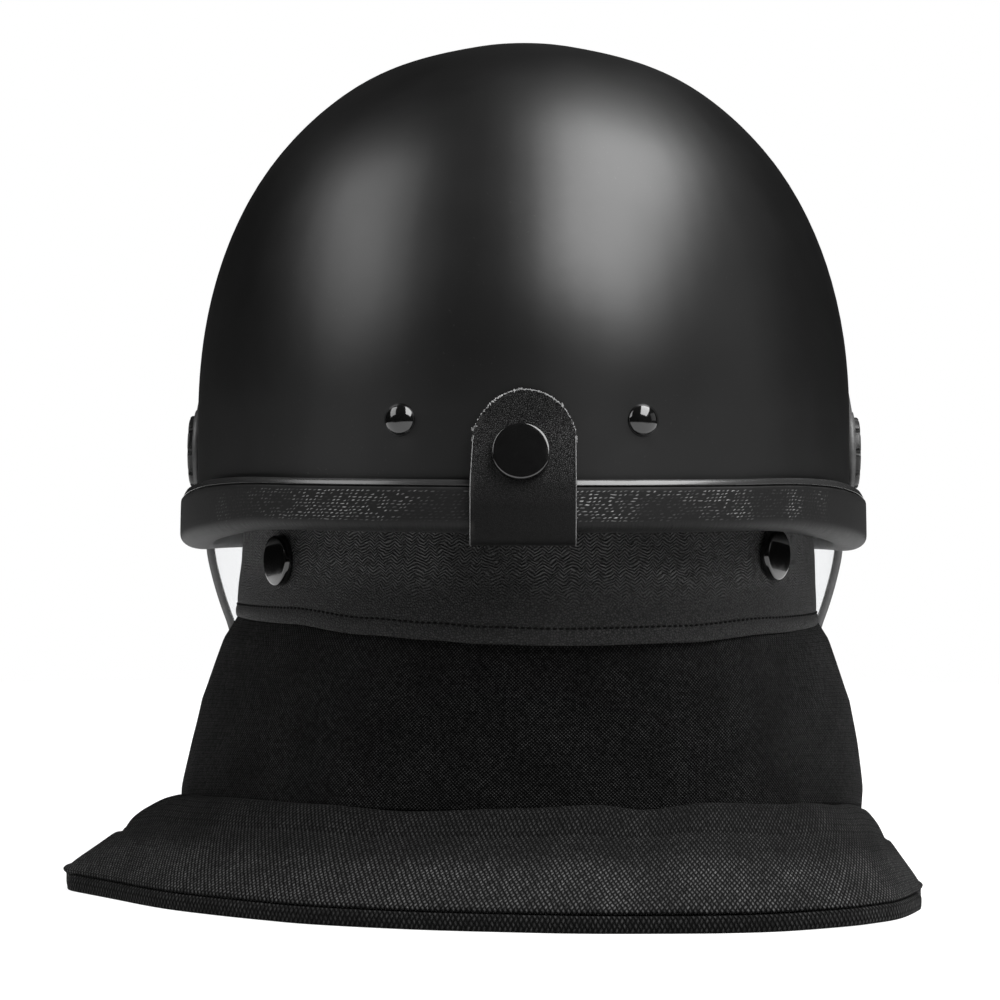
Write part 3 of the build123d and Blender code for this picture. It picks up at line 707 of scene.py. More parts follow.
def joined(meshes: Sequence[Mesh]) -> Mesh:
    """Puts several meshes into one."""
    whole = bmesh.new()
    for mesh in meshes:
        data = bpy.data.meshes.new("passing")
        mesh.to_mesh(data)
        mesh.free()
        whole.from_mesh(data)
        bpy.data.meshes.remove(data)
    return whole


def piece_of(mesh: Mesh, name: str, *finishes: Material, recalc: bool = True) -> Piece:
    """Turns a mesh into a smooth-shaded piece.

    Args:
        mesh: The mesh, which is freed.
        name: The piece's name.
        finishes: Its materials in order.
        recalc: Whether the faces are all turned outwards.

    Returns:
        The piece.
    """
    bmesh.ops.remove_doubles(mesh, verts=mesh.verts, dist=WELD)
    if recalc:
        bmesh.ops.recalc_face_normals(mesh, faces=mesh.faces)
    data = bpy.data.meshes.new(name)
    mesh.to_mesh(data)
    mesh.free()
    data.shade_smooth()
    for finish in finishes:
        data.materials.append(finish)
    piece = bpy.data.objects.new(name, data)
    bpy.context.scene.collection.objects.link(piece)
    return piece


def thicken(piece: Piece, wall: float, rim: int = 0, offset: float = 0.0) -> None:
    """Gives a sheet its wall, on both sides of its middle unless told."""
    solid = piece.modifiers.new("wall", "SOLIDIFY")
    solid.thickness = wall
    solid.offset = offset
    solid.material_offset_rim = rim
    solid.use_even_offset = True


def round_off(piece: Piece, levels: int = 1) -> None:
    """Smooths a piece with a subdivision surface."""
    smooth = piece.modifiers.new("smooth", "SUBSURF")
    smooth.levels = smooth.render_levels = levels


def bevelled(piece: Piece, width: float, segments: int = 2) -> None:
    """Breaks the sharp edges of a piece."""
    bevel = piece.modifiers.new("soft_edge", "BEVEL")
    bevel.width = width
    bevel.segments = segments
    bevel.limit_method = "ANGLE"
    bevel.angle_limit = math.radians(50)


def settle(piece: Piece, body: Body, slot: str, *nodes: str) -> Piece:
    """Makes a piece ride on a body in place of CAD nodes, and logs it."""
    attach(piece, body.value)
    if nodes:
        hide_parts(*nodes)
    log.info("%s rides on %s, %d faces", piece.name, body.value, len(piece.data.polygons))
    return piece


def dress(finish: Material, *nodes: str) -> None:
    """Gives CAD nodes their finish."""
    for name in nodes:
        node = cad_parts[name]
        node.data.materials.clear()
        node.data.materials.append(finish)
        log.info("%s is dressed in %s", name, finish.name)


def rounded_line(points: Sequence[tuple[float, float]], bends: Sequence[float], steps: int = 8) -> list[Vector]:
    """Rounds the inner corners of a flat line.

    Args:
        points: The corners.
        bends: The radius at each inner corner.
        steps: Points on each rounded corner.

    Returns:
        The points of the rounded line.
    """
    corners = [Vector(point) for point in points]
    line = [corners[0]]
    for before, corner, after, bend in zip(corners, corners[1:], corners[2:], bends):
        back, ahead = (before - corner).normalized(), (after - corner).normalized()
        cut = bend / math.tan(back.angle(ahead) / 2)
        start, end = corner + back * cut, corner + ahead * cut
        for step in range(steps + 1):
            share = step / steps
            line.append(start.lerp(corner, share).lerp(corner.lerp(end, share), share))
    return line + [corners[-1]]


class Line:
    """A line of points that is walked by shares of its length."""

    def __init__(self, points: Sequence[Vector]) -> None:
        """Measures the line."""
        self.points = list(points)
        self.marks = [0.0]
        for first, second in zip(self.points, self.points[1:]):
            self.marks.append(self.marks[-1] + (second - first).length)

    @property
    def length(self) -> float:
        """The line's whole length."""
        return self.marks[-1]

    def at(self, share: float) -> Vector:
        """The point at a share of the length."""
        return self.step(share)[0]

    def level(self, across: float) -> float:
        """The height of a flat line, drawn from left to right, at a distance across."""
        for first, second in zip(self.points, self.points[1:]):
            if across <= second.x:
                share = (across - first.x) / (second.x - first.x)
                return first.y + (second.y - first.y) * eased(share)
        return self.points[-1].y

    def step(self, share: float) -> tuple[Vector, Vector]:
        """The point and the direction at a share of the length."""
        mark = held(share) * self.length
        index = 1
        while index < len(self.marks) - 1 and self.marks[index] < mark:
            index += 1
        first, second = self.points[index - 1], self.points[index]
        part = (mark - self.marks[index - 1]) / max(self.marks[index] - self.marks[index - 1], 1e-9)
        return first.lerp(second, part), (second - first).normalized()


def flowing_line(points: Sequence[tuple[float, float]], steps: int = 10, closed: bool = False) -> Line:
    """A smooth line through points.

    Args:
        points: The points that it goes through.
        steps: How many steps it has between two of them.
        closed: Whether it comes back to its start.

    Returns:
        The line.
    """
    knots = [Vector(point) for point in points]
    if closed:
        knots = [knots[-1], *knots, knots[0], knots[1]]
    else:
        knots = [knots[0] * 2 - knots[1], *knots, knots[-1] * 2 - knots[-2]]
    line = []
    for a, b, c, d in zip(knots, knots[1:], knots[2:], knots[3:]):
        for step in range(steps):
            t = step / steps
            line.append(0.5 * ((2 * b) + (c - a) * t + (2 * a - 5 * b + 4 * c - d) * t * t
                               + (3 * b - a - 3 * c + d) * t ** 3))
    return Line([*line, knots[-2]])


@dataclass(frozen=True)
class Egg:
    """The shell's form: half an egg on an upright foot."""

    half_width: float = 0.1225
    rear: float = 0.143
    front: float = 0.149
    equator: float = 0.170
    rise: float = 0.1422
    flare: float = 0.0012
    foot: float = 0.065
    power: float = 2.2
    rivet_spread: float = 0.041
    rivet_height: float = 0.1683

    def ring(self, height: float, grow: float) -> float:
        """The form's width at a height, as a share of its width at the equator."""
        lift = height - self.equator
        if lift <= 0:
            return 1 - self.flare * lift / self.foot / (self.half_width + grow)
        return max(1 - min(lift / (self.rise + grow), 1) ** self.power, 0) ** (1 / self.power)

    def reach(self, back: bool, grow: float) -> float:
        """The form's length behind or before the middle."""
        return (self.rear if back else self.front) + grow

    def around(self, turn: float, height: float, grow: float = 0.0) -> Vector:
        """The point at a turn round the form, which starts at the wearer's left and goes to the rear."""
        ring = self.ring(height, grow)
        return Vector(((self.half_width + grow) * ring * math.cos(turn),
                       self.reach(math.sin(turn) > 0, grow) * ring * math.sin(turn), height))

    def beside(self, reach: float, height: float, grow: float, side: int) -> Vector:
        """The point on a side, at a reach and height."""
        ring = self.ring(height, grow)
        share = min(abs(reach) / (self.reach(reach > 0, grow) * max(ring, 1e-6)), 1)
        return Vector((side * (self.half_width + grow) * ring * math.sqrt(1 - share ** 2), reach, height))

    def behind(self, across: float, height: float, grow: float, towards: int) -> Vector:
        """The point at the rear or the front, at a distance from the middle and a height."""
        ring = self.ring(height, grow)
        share = min(abs(across) / ((self.half_width + grow) * max(ring, 1e-6)), 1)
        return Vector((across, towards * self.reach(towards > 0, grow) * ring * math.sqrt(1 - share ** 2), height))

    def above(self, across: float, reach: float, grow: float) -> Vector:
        """The point on top, above a place."""
        share = math.hypot(across / (self.half_width + grow), reach / self.reach(reach > 0, grow))
        lift = max(1 - share ** self.power, 0) ** (1 / self.power)
        return Vector((across, reach, self.equator + (self.rise + grow) * lift))

    def rivet_seat(self, side: Side) -> tuple[Vector, Vector]:
        """The place of a rear rivet, and the direction straight out of the shell there."""
        place = self.behind(side.value * self.rivet_spread, self.rivet_height, 0.0, 1)
        return place, Vector((place.x / self.half_width ** 2, place.y / self.rear ** 2, 0)).normalized()


@dataclass(frozen=True)
class Rim:
    """The line that the edge trim follows, seen from the side."""

    points: tuple[tuple[float, float], ...] = (
        (0.2715, 0.1366), (0.100, 0.1402), (0.005, 0.1314), (-0.072, 0.1314), (-0.100, 0.172),
        (-0.1176, 0.190), (-0.2715, 0.190))
    bends: tuple[float, ...] = (0.200, 0.200, 0.026, 0.026, 0.045)

    def line(self) -> list[Vector]:
        """The rounded line from the rear to the front."""
        return rounded_line(self.points, self.bends, 12)

    def height(self, reach: float) -> tuple[float, float]:
        """The line's height and slope at a reach."""
        line = self.line()
        for first, second in zip(line, line[1:]):
            if second.x <= reach <= first.x and first.x - second.x > 1e-9:
                share = (first.x - reach) / (first.x - second.x)
                return first.y + (second.y - first.y) * share, (second.y - first.y) / (second.x - first.x)
        return line[-1].y, 0.0


@dataclass
class ShellAssembly:
    """The shell, its edge trim and the two rear rivets."""

    egg: Egg
    rim: Rim
    wardrobe: Wardrobe
    trim_steps: int = 420
    rim_length: float = 0.84
    corner_rise: float = 0.0026
    lip_end: float = 0.0061
    trim_profile: tuple[tuple[float, float], ...] = (
        (8.8, 0.1), (8.98, 2.6), (8.75, 3.85), (7.4, 4.75), (7.0, 4.85), (6.8, 4.3), (6.55, 4.3),
        (6.35, 5.3), (5.9, 5.7), (3.0, 5.75), (-2.5, 5.75), (-5.0, 5.6), (-6.6, 4.7), (-7.9, 2.9), (-8.6, 0.8),
        (-8.9, -1.6), (-8.8, -4.0), (-8.2, -5.9), (-6.8, -6.9), (-4.0, -7.0), (2.0, -7.0), (7.2, -7.0),
        (8.5, -6.4), (8.9, -5.2), (8.8, -4.1))
    rivet_profile: tuple[tuple[float, float], ...] = (
        (0.0, 3.3), (1.6, 3.18), (3.1, 2.72), (4.4, 1.9), (5.2, 1.0), (5.6, 0.35), (5.75, -0.25), (5.7, -0.6))

    def build(self) -> None:
        """Makes every piece of the assembly."""
        dress(self.wardrobe.shell, "shell")
        self._trim()
        self._rivets()
        dress(self.wardrobe.steel, "rivet_burrs")

    def trim_point(self, turn: float, raised: float, grow: float) -> Vector:
        """A point of the trim, at a turn round the shell, raised from the rim and grown outwards."""
        middle = self.egg.around(turn, 0.14, 0.0)
        height, slope = self.rim.height(middle.y)
        middle = self.egg.around(turn, height, 0.0)
        height, slope = self.rim.height(middle.y)
        steep = math.hypot(1, slope)
        start, end = ((middle.y - low) / wide for low, wide in ((0.115, -0.055), (-0.030, 0.035)))
        ride = math.prod(eased(held(share)) for share in (start, end))
        raised += self.corner_rise * ride * held((raised + 0.002) / 0.0108)
        if middle.y > -0.03:
            return self.egg.around(turn, height + raised * steep, grow)
        reach = middle.y - raised * slope / steep
        level = height + raised / steep
        if abs(math.cos(turn)) < 0.25:
            return self.egg.around(turn, level, grow)
        return self.egg.beside(reach, level, grow, 1 if math.cos(turn) > 0 else -1)

    def _trim(self) -> None:
        """The rubber channel round the rim, with its lip, groove and round foot."""
        profile = flowing_line([(a / 1000, b / 1000) for a, b in self.trim_profile], 2, closed=True)
        points = profile.points[:-1]
        rows = len(points)

        def place(across: float, along: float) -> Vector:
            spot = points[round(along * rows) % rows]
            return self.trim_point(across * math.tau + math.pi / 2, spot.x, spot.y)

        mesh = mapped_grid(self.trim_steps, rows, place, (self.rim_length, 1.0))
        true_lengths(mesh, profile)
        uv = mesh.loops.layers.uv.verify()
        for face in mesh.faces:
            down = sum(loop[uv].uv.y for loop in face.loops) / len(face.loops)
            # The lip's faces take the rubber with the painted highlight.
            face.material_index = 1 if down < self.lip_end else 0
        piece = piece_of(mesh, "edge_trim_rubber", self.wardrobe.rubber, self.wardrobe.lip_rubber)
        settle(piece, Body.HELMET, "black_rubber", "edge_trim")

    def _rivets(self) -> None:
        """Two gloss dome rivets on the shell's rear."""
        meshes = []
        for side in Side:
            stand = stand_at(*self.egg.rivet_seat(side))
            meshes.append(spun([(r / 1000, h / 1000) for r, h in self.rivet_profile], 40, stand))
        piece = piece_of(joined(meshes), "rear_rivet_heads", self.wardrobe.enamel)
        round_off(piece)
        settle(piece, Body.HELMET, "black_enamel", "rear_rivets")


def snap_cap(place: Matrix, radius: float, crown: float) -> Mesh:
    """The round cap of a snap fastener, a little crowned, with a tight rolled edge."""
    face = [(across, 0.34 + 0.055 * crown * (1 - (across / 0.93) ** 2))
            for across in (0.0, 0.25, 0.5, 0.7, 0.85, 0.93)]
    edge = [(0.965, 0.318), (0.988, 0.25), (1.0, 0.15), (0.995, 0.045), (0.965, 0.0)]
    return spun([(radius * across, radius * up) for across, up in (*face, *edge)], 64, place)


@dataclass
class NeckGuard:
    """The leather collar, the woven panel and the padded flange."""

    wardrobe: Wardrobe
    shift: float = -0.0016
    start: float = 3.4
    collar_half_width: float = 0.108
    collar_rear: float = 0.117
    collar_top: float = 0.1425
    hem_line: tuple[tuple[float, float], ...] = (
        (0.0, 0.0984), (0.217, 0.0974), (0.328, 0.0947), (0.40, 0.0935), (0.454, 0.0924), (0.538, 0.0918),
        (0.671, 0.0924), (0.795, 0.0944), (1.0, 0.0957))
    collar_wall: float = 0.002
    snap_turn: float = 36.7
    snap_heights: tuple[float, float] = (0.1197, 0.1222)
    snap_oval: tuple[float, float] = (0.109, 0.118)
    stitch_pitch: float = 0.0023
    creases: tuple[float, float] = (0.0006, 0.00025)
    hem_fold: tuple[float, float] = (0.0005, 0.00035)
    hem_flare: float = 0.0009
    end_pull: tuple[float, float] = (0.0021, 0.0006)
    panel_levels: tuple[tuple[float, float, float], ...] = (
        (0.101, 0.1056, 0.1143), (0.0955, 0.1086, 0.1146), (0.0890, 0.1128, 0.1132), (0.0813, 0.1157, 0.1122),
        (0.0663, 0.1211, 0.1102), (0.0513, 0.1241, 0.1084), (0.0363, 0.1267, 0.1065), (0.0335, 0.1271, 0.1062))
    panel_start: float = 5.5
    panel_shift: float = -0.0012
    panel_foot: float = 0.0335
    panel_top: float = 0.1005
    panel_wall: float = 0.0026
    ends_drop: float = 0.0085
    hem_share: float = 0.86
    drape: float = 0.0011
    sag: float = 0.0022
    belly: float = 0.0009
    crest: tuple[tuple[float, float], ...] = (
        (0.0, 0.0301), (0.10, 0.0335), (0.20, 0.0348), (0.31, 0.0348), (0.39, 0.0337), (0.50, 0.0353),
        (0.57, 0.0364), (0.62, 0.0344), (0.68, 0.0360), (0.80, 0.0337), (0.90, 0.0310), (1.0, 0.0268))
    seam_share: float = 0.295
    flange_foot: tuple[float, float] = (0.1275, 0.1085)
    edge_length: float = 0.43
    flange_depth: float = 0.0535
    crest_height: float = 0.0368
    tip_rise: float = 0.0022
    tip_run: float = 0.028
    end_notches: tuple[float, float] = (0.0018, 0.0036)
    ripple: float = 0.0009
    outline: tuple[tuple[float, float], ...] = (
        (0.1625, 0.0435), (0.1662, 0.0475), (0.1658, 0.0525), (0.1618, 0.0590), (0.1450, 0.0795), (0.1245, 0.105),
        (0.1055, 0.1220), (0.0860, 0.1362), (0.0685, 0.1465), (0.0340, 0.1585), (0.0010, 0.1640),
        (-0.0230, 0.1660), (-0.0560, 0.1648), (-0.0730, 0.1627), (-0.0890, 0.1583), (-0.1070, 0.1488),
        (-0.1175, 0.1402), (-0.1280, 0.1270), (-0.1372, 0.1035), (-0.1407, 0.0890), (-0.1400, 0.0835))
    flange_section: tuple[tuple[float, float], ...] = (
        (-0.05, 33.2), (-0.02, 36.2), (0.05, 36.8), (0.12, 35.4), (0.22, 31.6), (0.275, 28.9), (0.29, 27.9),
        (0.305, 28.0), (0.40, 25.8), (0.55, 21.7), (0.70, 17.6), (0.85, 13.4), (0.94, 10.5), (0.985, 8.7),
        (1.005, 7.4), (0.998, 6.5), (0.98, 6.0), (0.97, 5.0), (0.97, 2.6), (0.96, 0.8), (0.93, 0.1),
        (0.70, 0.0), (0.35, 0.0), (0.05, 0.0), (-0.03, 0.4), (-0.07, 2.5), (-0.075, 10.0), (-0.07, 22.0))
    band_section: tuple[tuple[float, float], ...] = (
        (-1.2, 0.5), (0.3, 0.1), (0.95, 0.6), (1.15, 2.4), (1.1, 4.3), (0.6, 5.5), (-0.3, 5.9), (-1.3, 5.5),
        (-1.6, 3.0))

    def oval(self, turn: float, half_width: float, rear: float, height: float,
             shift: float | None = None) -> Vector:
        """A point on an upright oval round the neck, moved sideways by the guard's shift unless told."""
        aside = self.shift if shift is None else shift
        return Vector((half_width * math.cos(turn) + aside, rear * math.sin(turn), height))

    def turn_at(self, share: float, start: float) -> float:
        """The turn at a share of the way from the wearer's left end to the right one."""
        return math.radians(start + (180 - 2 * start) * share)

    def build(self) -> None:
        """Makes every piece of the guard."""
        self._collar()
        self._stitches()
        self._snaps()
        self._panel()
        self._flange()
        self._binding()
        dress(self.wardrobe.steel, "collar_snap_studs")

    def hem(self, turn: float) -> float:
        """The height of the collar's lower edge."""
        share = (math.degrees(turn) - self.start) / (180 - 2 * self.start)
        return Line([Vector(point) for point in self.hem_line]).level(share)

    def stitch_lift(self, turn: float) -> float:
        """How far above the hem the sewn line runs."""
        return 0.0057 - 0.0017 * abs(math.cos(turn)) ** 8

    def collar_point(self, turn: float, height: float, out: float = 0.0) -> Vector:
        """A point of the collar's middle face, with its creases and its turned-up hem."""
        above = height - self.hem(turn)
        low = 1 - held(above / 0.03)
        spot = Vector((math.cos(turn) * 3.1, math.sin(turn) * 3.1, height * 42))
        broad, fine = self.creases
        crease = noise.noise(spot) * broad + noise.noise(spot * 2.7) * fine
        lift = self.stitch_lift(turn)
        roll, dent = self.hem_fold
        fold = roll * math.exp(-((above - lift * 0.45) / 0.0022) ** 2) \
            - dent * math.exp(-((above - lift) / 0.0010) ** 2)
        both, left = self.end_pull
        pull = (both + left * math.cos(turn)) * (1 - math.sin(turn)) ** 2 * (1 - low * 0.7)
        grow = low * self.hem_flare + crease + fold + out
        return self.oval(turn, self.collar_half_width + grow - pull, self.collar_rear + grow, height)

    def _collar(self) -> None:
        """The leather band under the trim."""

        def place(across: float, along: float) -> Vector:
            turn = self.turn_at(across, self.start)
            low = self.hem(turn)
            return self.collar_point(turn, low + (self.collar_top - low) * along)

        mesh = mapped_grid(240, 64, place, (0.352, 0.048))
        piece = piece_of(mesh, "collar_leather_band", self.wardrobe.collar, self.wardrobe.tab)
        thicken(piece, self.collar_wall, 1)
        settle(piece, Body.HELMET, "black_leather", "collar")

    def _stitches(self) -> None:
        """The sewn line above the collar's hem."""
        mesh = bmesh.new()
        count = round(0.346 / self.stitch_pitch)
        for index in range(count):
            turn = self.turn_at((index + 0.5) / count, self.start + 0.6)
            end = self.turn_at((index + 1.0) / count, self.start + 0.6)
            out = self.collar_wall / 2 + 0.0001
            middle = self.collar_point(turn, self.hem(turn) + self.stitch_lift(turn), out)
            ahead = self.collar_point(end, self.hem(end) + self.stitch_lift(end), out) - middle
            shape = stand_at(middle, ahead, "XZ") @ Matrix.Diagonal((0.00088, 0.0004, 0.00045, 1))
            bmesh.ops.create_icosphere(mesh, subdivisions=2, radius=1.0, matrix=shape)
        piece = piece_of(mesh, "collar_stitches", self.wardrobe.thread)
        settle(piece, Body.HELMET, "black_webbing")

    def _snaps(self) -> None:
        """The two gloss caps on the collar's sides."""
        meshes = []
        for side, height in zip(Side, self.snap_heights):
            turn = math.radians(self.snap_turn if side is Side.LEFT else 180 - self.snap_turn)
            wide, deep = self.snap_oval
            normal = Vector((math.cos(turn) / wide, math.sin(turn) / deep * 0.87, 0))
            meshes.append(snap_cap(stand_at(self.oval(turn, wide, deep, height), normal), 0.0092, 1.1))
        piece = piece_of(joined(meshes), "collar_snap_tops", self.wardrobe.enamel)
        round_off(piece)
        settle(piece, Body.HELMET, "black_enamel", "collar_snap_caps")

    def panel_size(self, height: float) -> tuple[float, float]:
        """The panel's half-width and rear reach at a height."""
        levels = self.panel_levels
        for (top, wide, back), (low, wider, further) in zip(levels, levels[1:]):
            if height >= low:
                share = min((top - height) / (top - low), 1)
                return wide + (wider - wide) * share, back + (further - back) * share
        return levels[-1][1], levels[-1][2]

    def _panel(self) -> None:
        """The woven panel from behind the hem down to the flange."""

        def place(across: float, along: float) -> Vector:
            foot = self.panel_foot - self.ends_drop * abs(2 * across - 1) ** 4
            height = foot + (self.panel_top - foot) * along
            lean = 1 - along
            turn = self.turn_at(across, self.start + (self.panel_start - self.start) * lean)
            wide, back = self.panel_size(height)
            spot = Vector((math.cos(turn) * 2.4, math.sin(turn) * 2.4, height * 22))
            drape = noise.noise(spot) * self.drape * math.sin(math.pi * along)
            sag = self.sag * math.sin(math.pi * min(along / self.hem_share, 1)) * math.sin(turn)
            belly = self.belly * math.exp(-((along - self.hem_share) / 0.07) ** 2)
            return self.oval(turn, wide + drape, back + drape + belly - sag, height,
                             self.panel_shift + 0.0019 * lean ** 2)

        mesh = mapped_grid(220, 48, place, (0.366, 0.070))
        piece = piece_of(mesh, "neck_panel_cloth", self.wardrobe.panel)
        thicken(piece, self.panel_wall)
        settle(piece, Body.HELMET, "black_webbing", "neck_panel")

    def _closed(self, name: str, rows: int, place: Place, section: Line) -> Piece:
        """Makes a woven piece along the flange, with its section's real lengths and its ends closed."""
        mesh = mapped_grid(260, rows, place, (self.edge_length, 1.0))
        true_lengths(mesh, section)
        bmesh.ops.remove_doubles(mesh, verts=mesh.verts, dist=WELD)
        bmesh.ops.holes_fill(mesh, edges=[edge for edge in mesh.edges if edge.is_boundary], sides=0)
        return piece_of(mesh, name, self.wardrobe.flange)

    def tip_lift(self, across: float) -> float:
        """How far the flange's left tip lifts off the table."""
        return self.tip_rise * (1 - min(across / self.tip_run, 1)) ** 2

    def _flange(self) -> None:
        """The padded flange that lies on the table."""
        outline = flowing_line(self.outline)
        section = flowing_line([(share, height / 1000) for share, height in self.flange_section], 4, closed=True)
        points = section.points[:-1]
        rows = len(points)
        crest = Line([Vector(point) for point in self.crest])

        def place(across: float, along: float) -> Vector:
            share, height = points[round(along * rows) % rows]
            turn = self.turn_at(across, self.panel_start + 1.5)
            foot = self.oval(turn, *self.flange_foot, 0, self.panel_shift + 0.0015)
            end_pull = abs(2 * across - 1)
            seam_notch, left_notch = self.end_notches
            notch = seam_notch * end_pull ** 6 * math.exp(-((share - 0.30) / 0.07) ** 2)
            if across < 0.5 and share > 0.26:
                notch += left_notch * end_pull ** 6 * min((share - 0.26) / 0.06, 1) * max(1.15 - share, 0)
            seam = self.seam_share + 0.15 * end_pull ** 2 + (0.09 * end_pull ** 6 if across < 0.5 else 0)
            if share > self.seam_share:
                share = seam + (share - self.seam_share) * (1 - seam) / (1 - self.seam_share)
            elif share > 0:
                share *= seam / self.seam_share
            spot = foot.lerp(outline.at(across).to_3d(), share)
            tall = held((height - 0.007) / 0.004)
            height = height * (1 + (crest.level(across) / self.crest_height - 1) * tall) - notch * tall
            end = min(across, 1 - across) / (0.020 if share > seam else 0.008 + 0.012 * max(share, 0) / seam)
            full = math.sqrt(1 - (1 - min(end, 1)) ** 2)
            middle = 0.0042 + 0.012 * (1 - share) ** 2
            height = middle + (height - middle) * (0.25 + 0.75 * full)
            wave = noise.noise(Vector((spot.x * 26, spot.y * 26, 0.4)))
            lift = max(share, 0) * (1 - max(share, 0)) * 4
            height += wave * self.ripple * lift * full if height > 0.006 else 0
            return Vector((spot.x, spot.y, max(height, 0.0) + self.tip_lift(across)))

        flat = Line([Vector((share * self.flange_depth, height)) for share, height in section.points])
        piece = self._closed("neck_flange_pad", rows, place, flat)
        settle(piece, Body.HELMET, "black_webbing", "neck_flange")

    def _binding(self) -> None:
        """The tape and piping along the flange's rear edge."""
        outline = flowing_line(self.outline)
        section = flowing_line([(a / 1000, b / 1000) for a, b in self.band_section], 3, closed=True)
        points = section.points[:-1]
        rows = len(points)

        def place(across: float, along: float) -> Vector:
            out, height = points[round(along * rows) % rows]
            spot, ahead = outline.step(across)
            away = Vector((-ahead.y, ahead.x)) * -1
            if away.dot(spot) < 0:
                away = -away
            full = eased(min(min(across, 1 - across) / 0.050, 1))
            spot = spot + away * (out * full - 0.0040 * (1 - full))
            wave = noise.noise(Vector((spot.x * 14, spot.y * 14, 2.0))) * 0.0004 * full
            height = max(height * (0.3 + 0.7 * full) + wave, 0.0)
            return Vector((spot.x, spot.y, height + self.tip_lift(across) * 1.6))

        piece = self._closed("flange_piping", rows, place, section)
        settle(piece, Body.HELMET, "black_webbing", "flange_binding")


@dataclass
class RearTab:
    """The leather strap over the trim, its snap cap and its raw top edge."""

    wardrobe: Wardrobe
    half_width: float = 0.0178
    wall: float = 0.002
    top: float = 0.1782
    path: tuple[tuple[float, float], ...] = (
        (0.1190, 0.1405), (0.1190, 0.1273), (0.1509, 0.1273), (0.1509, 0.1470), (0.1450, 0.1690), (0.1450, 0.1782))
    bends: tuple[float, ...] = (0.0022, 0.0042, 0.008, 0.008)
    snap_height: float = 0.1571
    snap_reach: float = 0.14892
    snap_tilt: float = 0.268
    round_from: float = 0.86
    aside: float = -0.0007
    upper_aside: float = -0.0006
    upper_taper: float = 0.045
    cut_from: float = 0.44
    cut_run: float = 0.43
    fibres: int = 220

    def build(self) -> None:
        """Makes every piece of the tab."""
        line = Line(rounded_line(self.path, self.bends, 6))
        self._strap(line)
        self._cut_sides(line)
        self._fibres(line)
        stand = stand_at(Vector((0, self.snap_reach, self.snap_height)), Vector((0, 1, self.snap_tilt)))
        piece = piece_of(snap_cap(stand, 0.0099, 0.3), "rear_tab_cap", self.wardrobe.enamel)
        round_off(piece)
        settle(piece, Body.TAB, "black_enamel", "rear_tab_snap")
        dress(self.wardrobe.steel, "rear_snap_post")

    def place(self, line: Line, across: float, along: float) -> Vector:
        """A point of the strap's middle face, across from -1 to 1 and along from 0 to 1."""
        straight = (line.length - self.half_width) / line.length
        if along < self.round_from:
            share, wide = along / self.round_from * straight, 1.0
        else:
            lift = (along - self.round_from) / (1 - self.round_from) * math.pi / 2
            share = straight + (1 - straight) * math.sin(lift)
            wide = max(math.cos(lift), 0.02)
        spot = line.at(share)
        centre = 0.0173 + (spot.x - 0.119) / 0.0319 * 0.0208
        radius = spot.x - centre
        lean = across * wide * self.half_width / radius
        upper = held((spot.y - 0.147) / 0.025)
        aside = self.aside + self.upper_aside * upper
        across = radius * math.sin(lean) * (1 - self.upper_taper * upper) + aside
        return Vector((across, centre + radius * math.cos(lean), spot.y))

    def _strap(self, line: Line) -> None:
        """The strap from the collar, under the trim and up to its round end."""
        mesh = mapped_grid(30, 130, lambda a, b: self.place(line, a * 2 - 1, b), (self.half_width * 2, line.length))
        piece = piece_of(mesh, "rear_tab_strap", self.wardrobe.tab, self.wardrobe.raw_edge)
        thicken(piece, self.wall, 1)
        bevelled(piece, 0.00055, 2)
        piece.modifiers["soft_edge"].material = 1
        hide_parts("rear_tab", "tab_anchor")
        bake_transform(piece)
        log.info("%s bends between the helmet and the tab", piece.name)

    def _cut_sides(self, line: Line) -> None:
        """The pale cut edge of the hide along the strap's two straight sides."""
        meshes = []
        for side in Side:

            def place(across: float, along: float, side=side) -> Vector:
                share = self.cut_from + self.cut_run * along
                spot = self.place(line, side.value * (0.986 + 0.012 * across), share)
                ahead = self.place(line, side.value, share + 0.004) - self.place(line, side.value, share - 0.004)
                out = Vector((0, ahead.z, -ahead.y)).normalized()
                fray = noise.noise(Vector((side.value, along * 60, 0))) * 0.00008
                return spot + out * (self.wall / 2 + 0.00004 + fray * across)

            meshes.append(mapped_grid(3, 150, place, (0.0005, 0.045)))
        piece = piece_of(joined(meshes), "tab_cut_sides", self.wardrobe.raw_edge, recalc=False)
        thicken(piece, 0.00022)
        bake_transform(piece)
        log.info("%s bends with the strap", piece.name)

    def _fibres(self, line: Line) -> None:
        """Loose pale fibres along the raw cut edge of the round end."""
        seed = random.Random(7)
        mesh = bmesh.new()
        half = self.fibres // 2
        for index in range(self.fibres):
            along = self.round_from + (1 - self.round_from) * (index % half) / half
            side = 1 if index < half else -1
            spot = self.place(line, side, along) + Vector((0, seed.uniform(-0.0009, 0.0011), 0))
            size = seed.uniform(0.00012, 0.00034)
            turn = Matrix.Rotation(seed.uniform(0, math.tau), 4, Vector((0.3, 1, 0.2)))
            shape = Matrix.Translation(spot) @ turn @ Matrix.Diagonal((size * 2.2, size, size, 1))
            bmesh.ops.create_icosphere(mesh, subdivisions=1, radius=1.0, matrix=shape)
        for along, side in ((0.883, 1.03), (0.991, 1.0), (0.93, -1.0)):
            for _ in range(16):
                spot = self.place(line, side, along) + Vector([seed.uniform(-0.0006, 0.0006) for _ in range(3)])
                shape = Matrix.Translation(spot) @ Matrix.Scale(seed.uniform(0.0002, 0.00042), 4)
                bmesh.ops.create_icosphere(mesh, subdivisions=1, radius=1.0, matrix=shape)
        piece = piece_of(mesh, "tab_edge_fibres", self.wardrobe.raw_edge)
        settle(piece, Body.TAB, "black_leather")


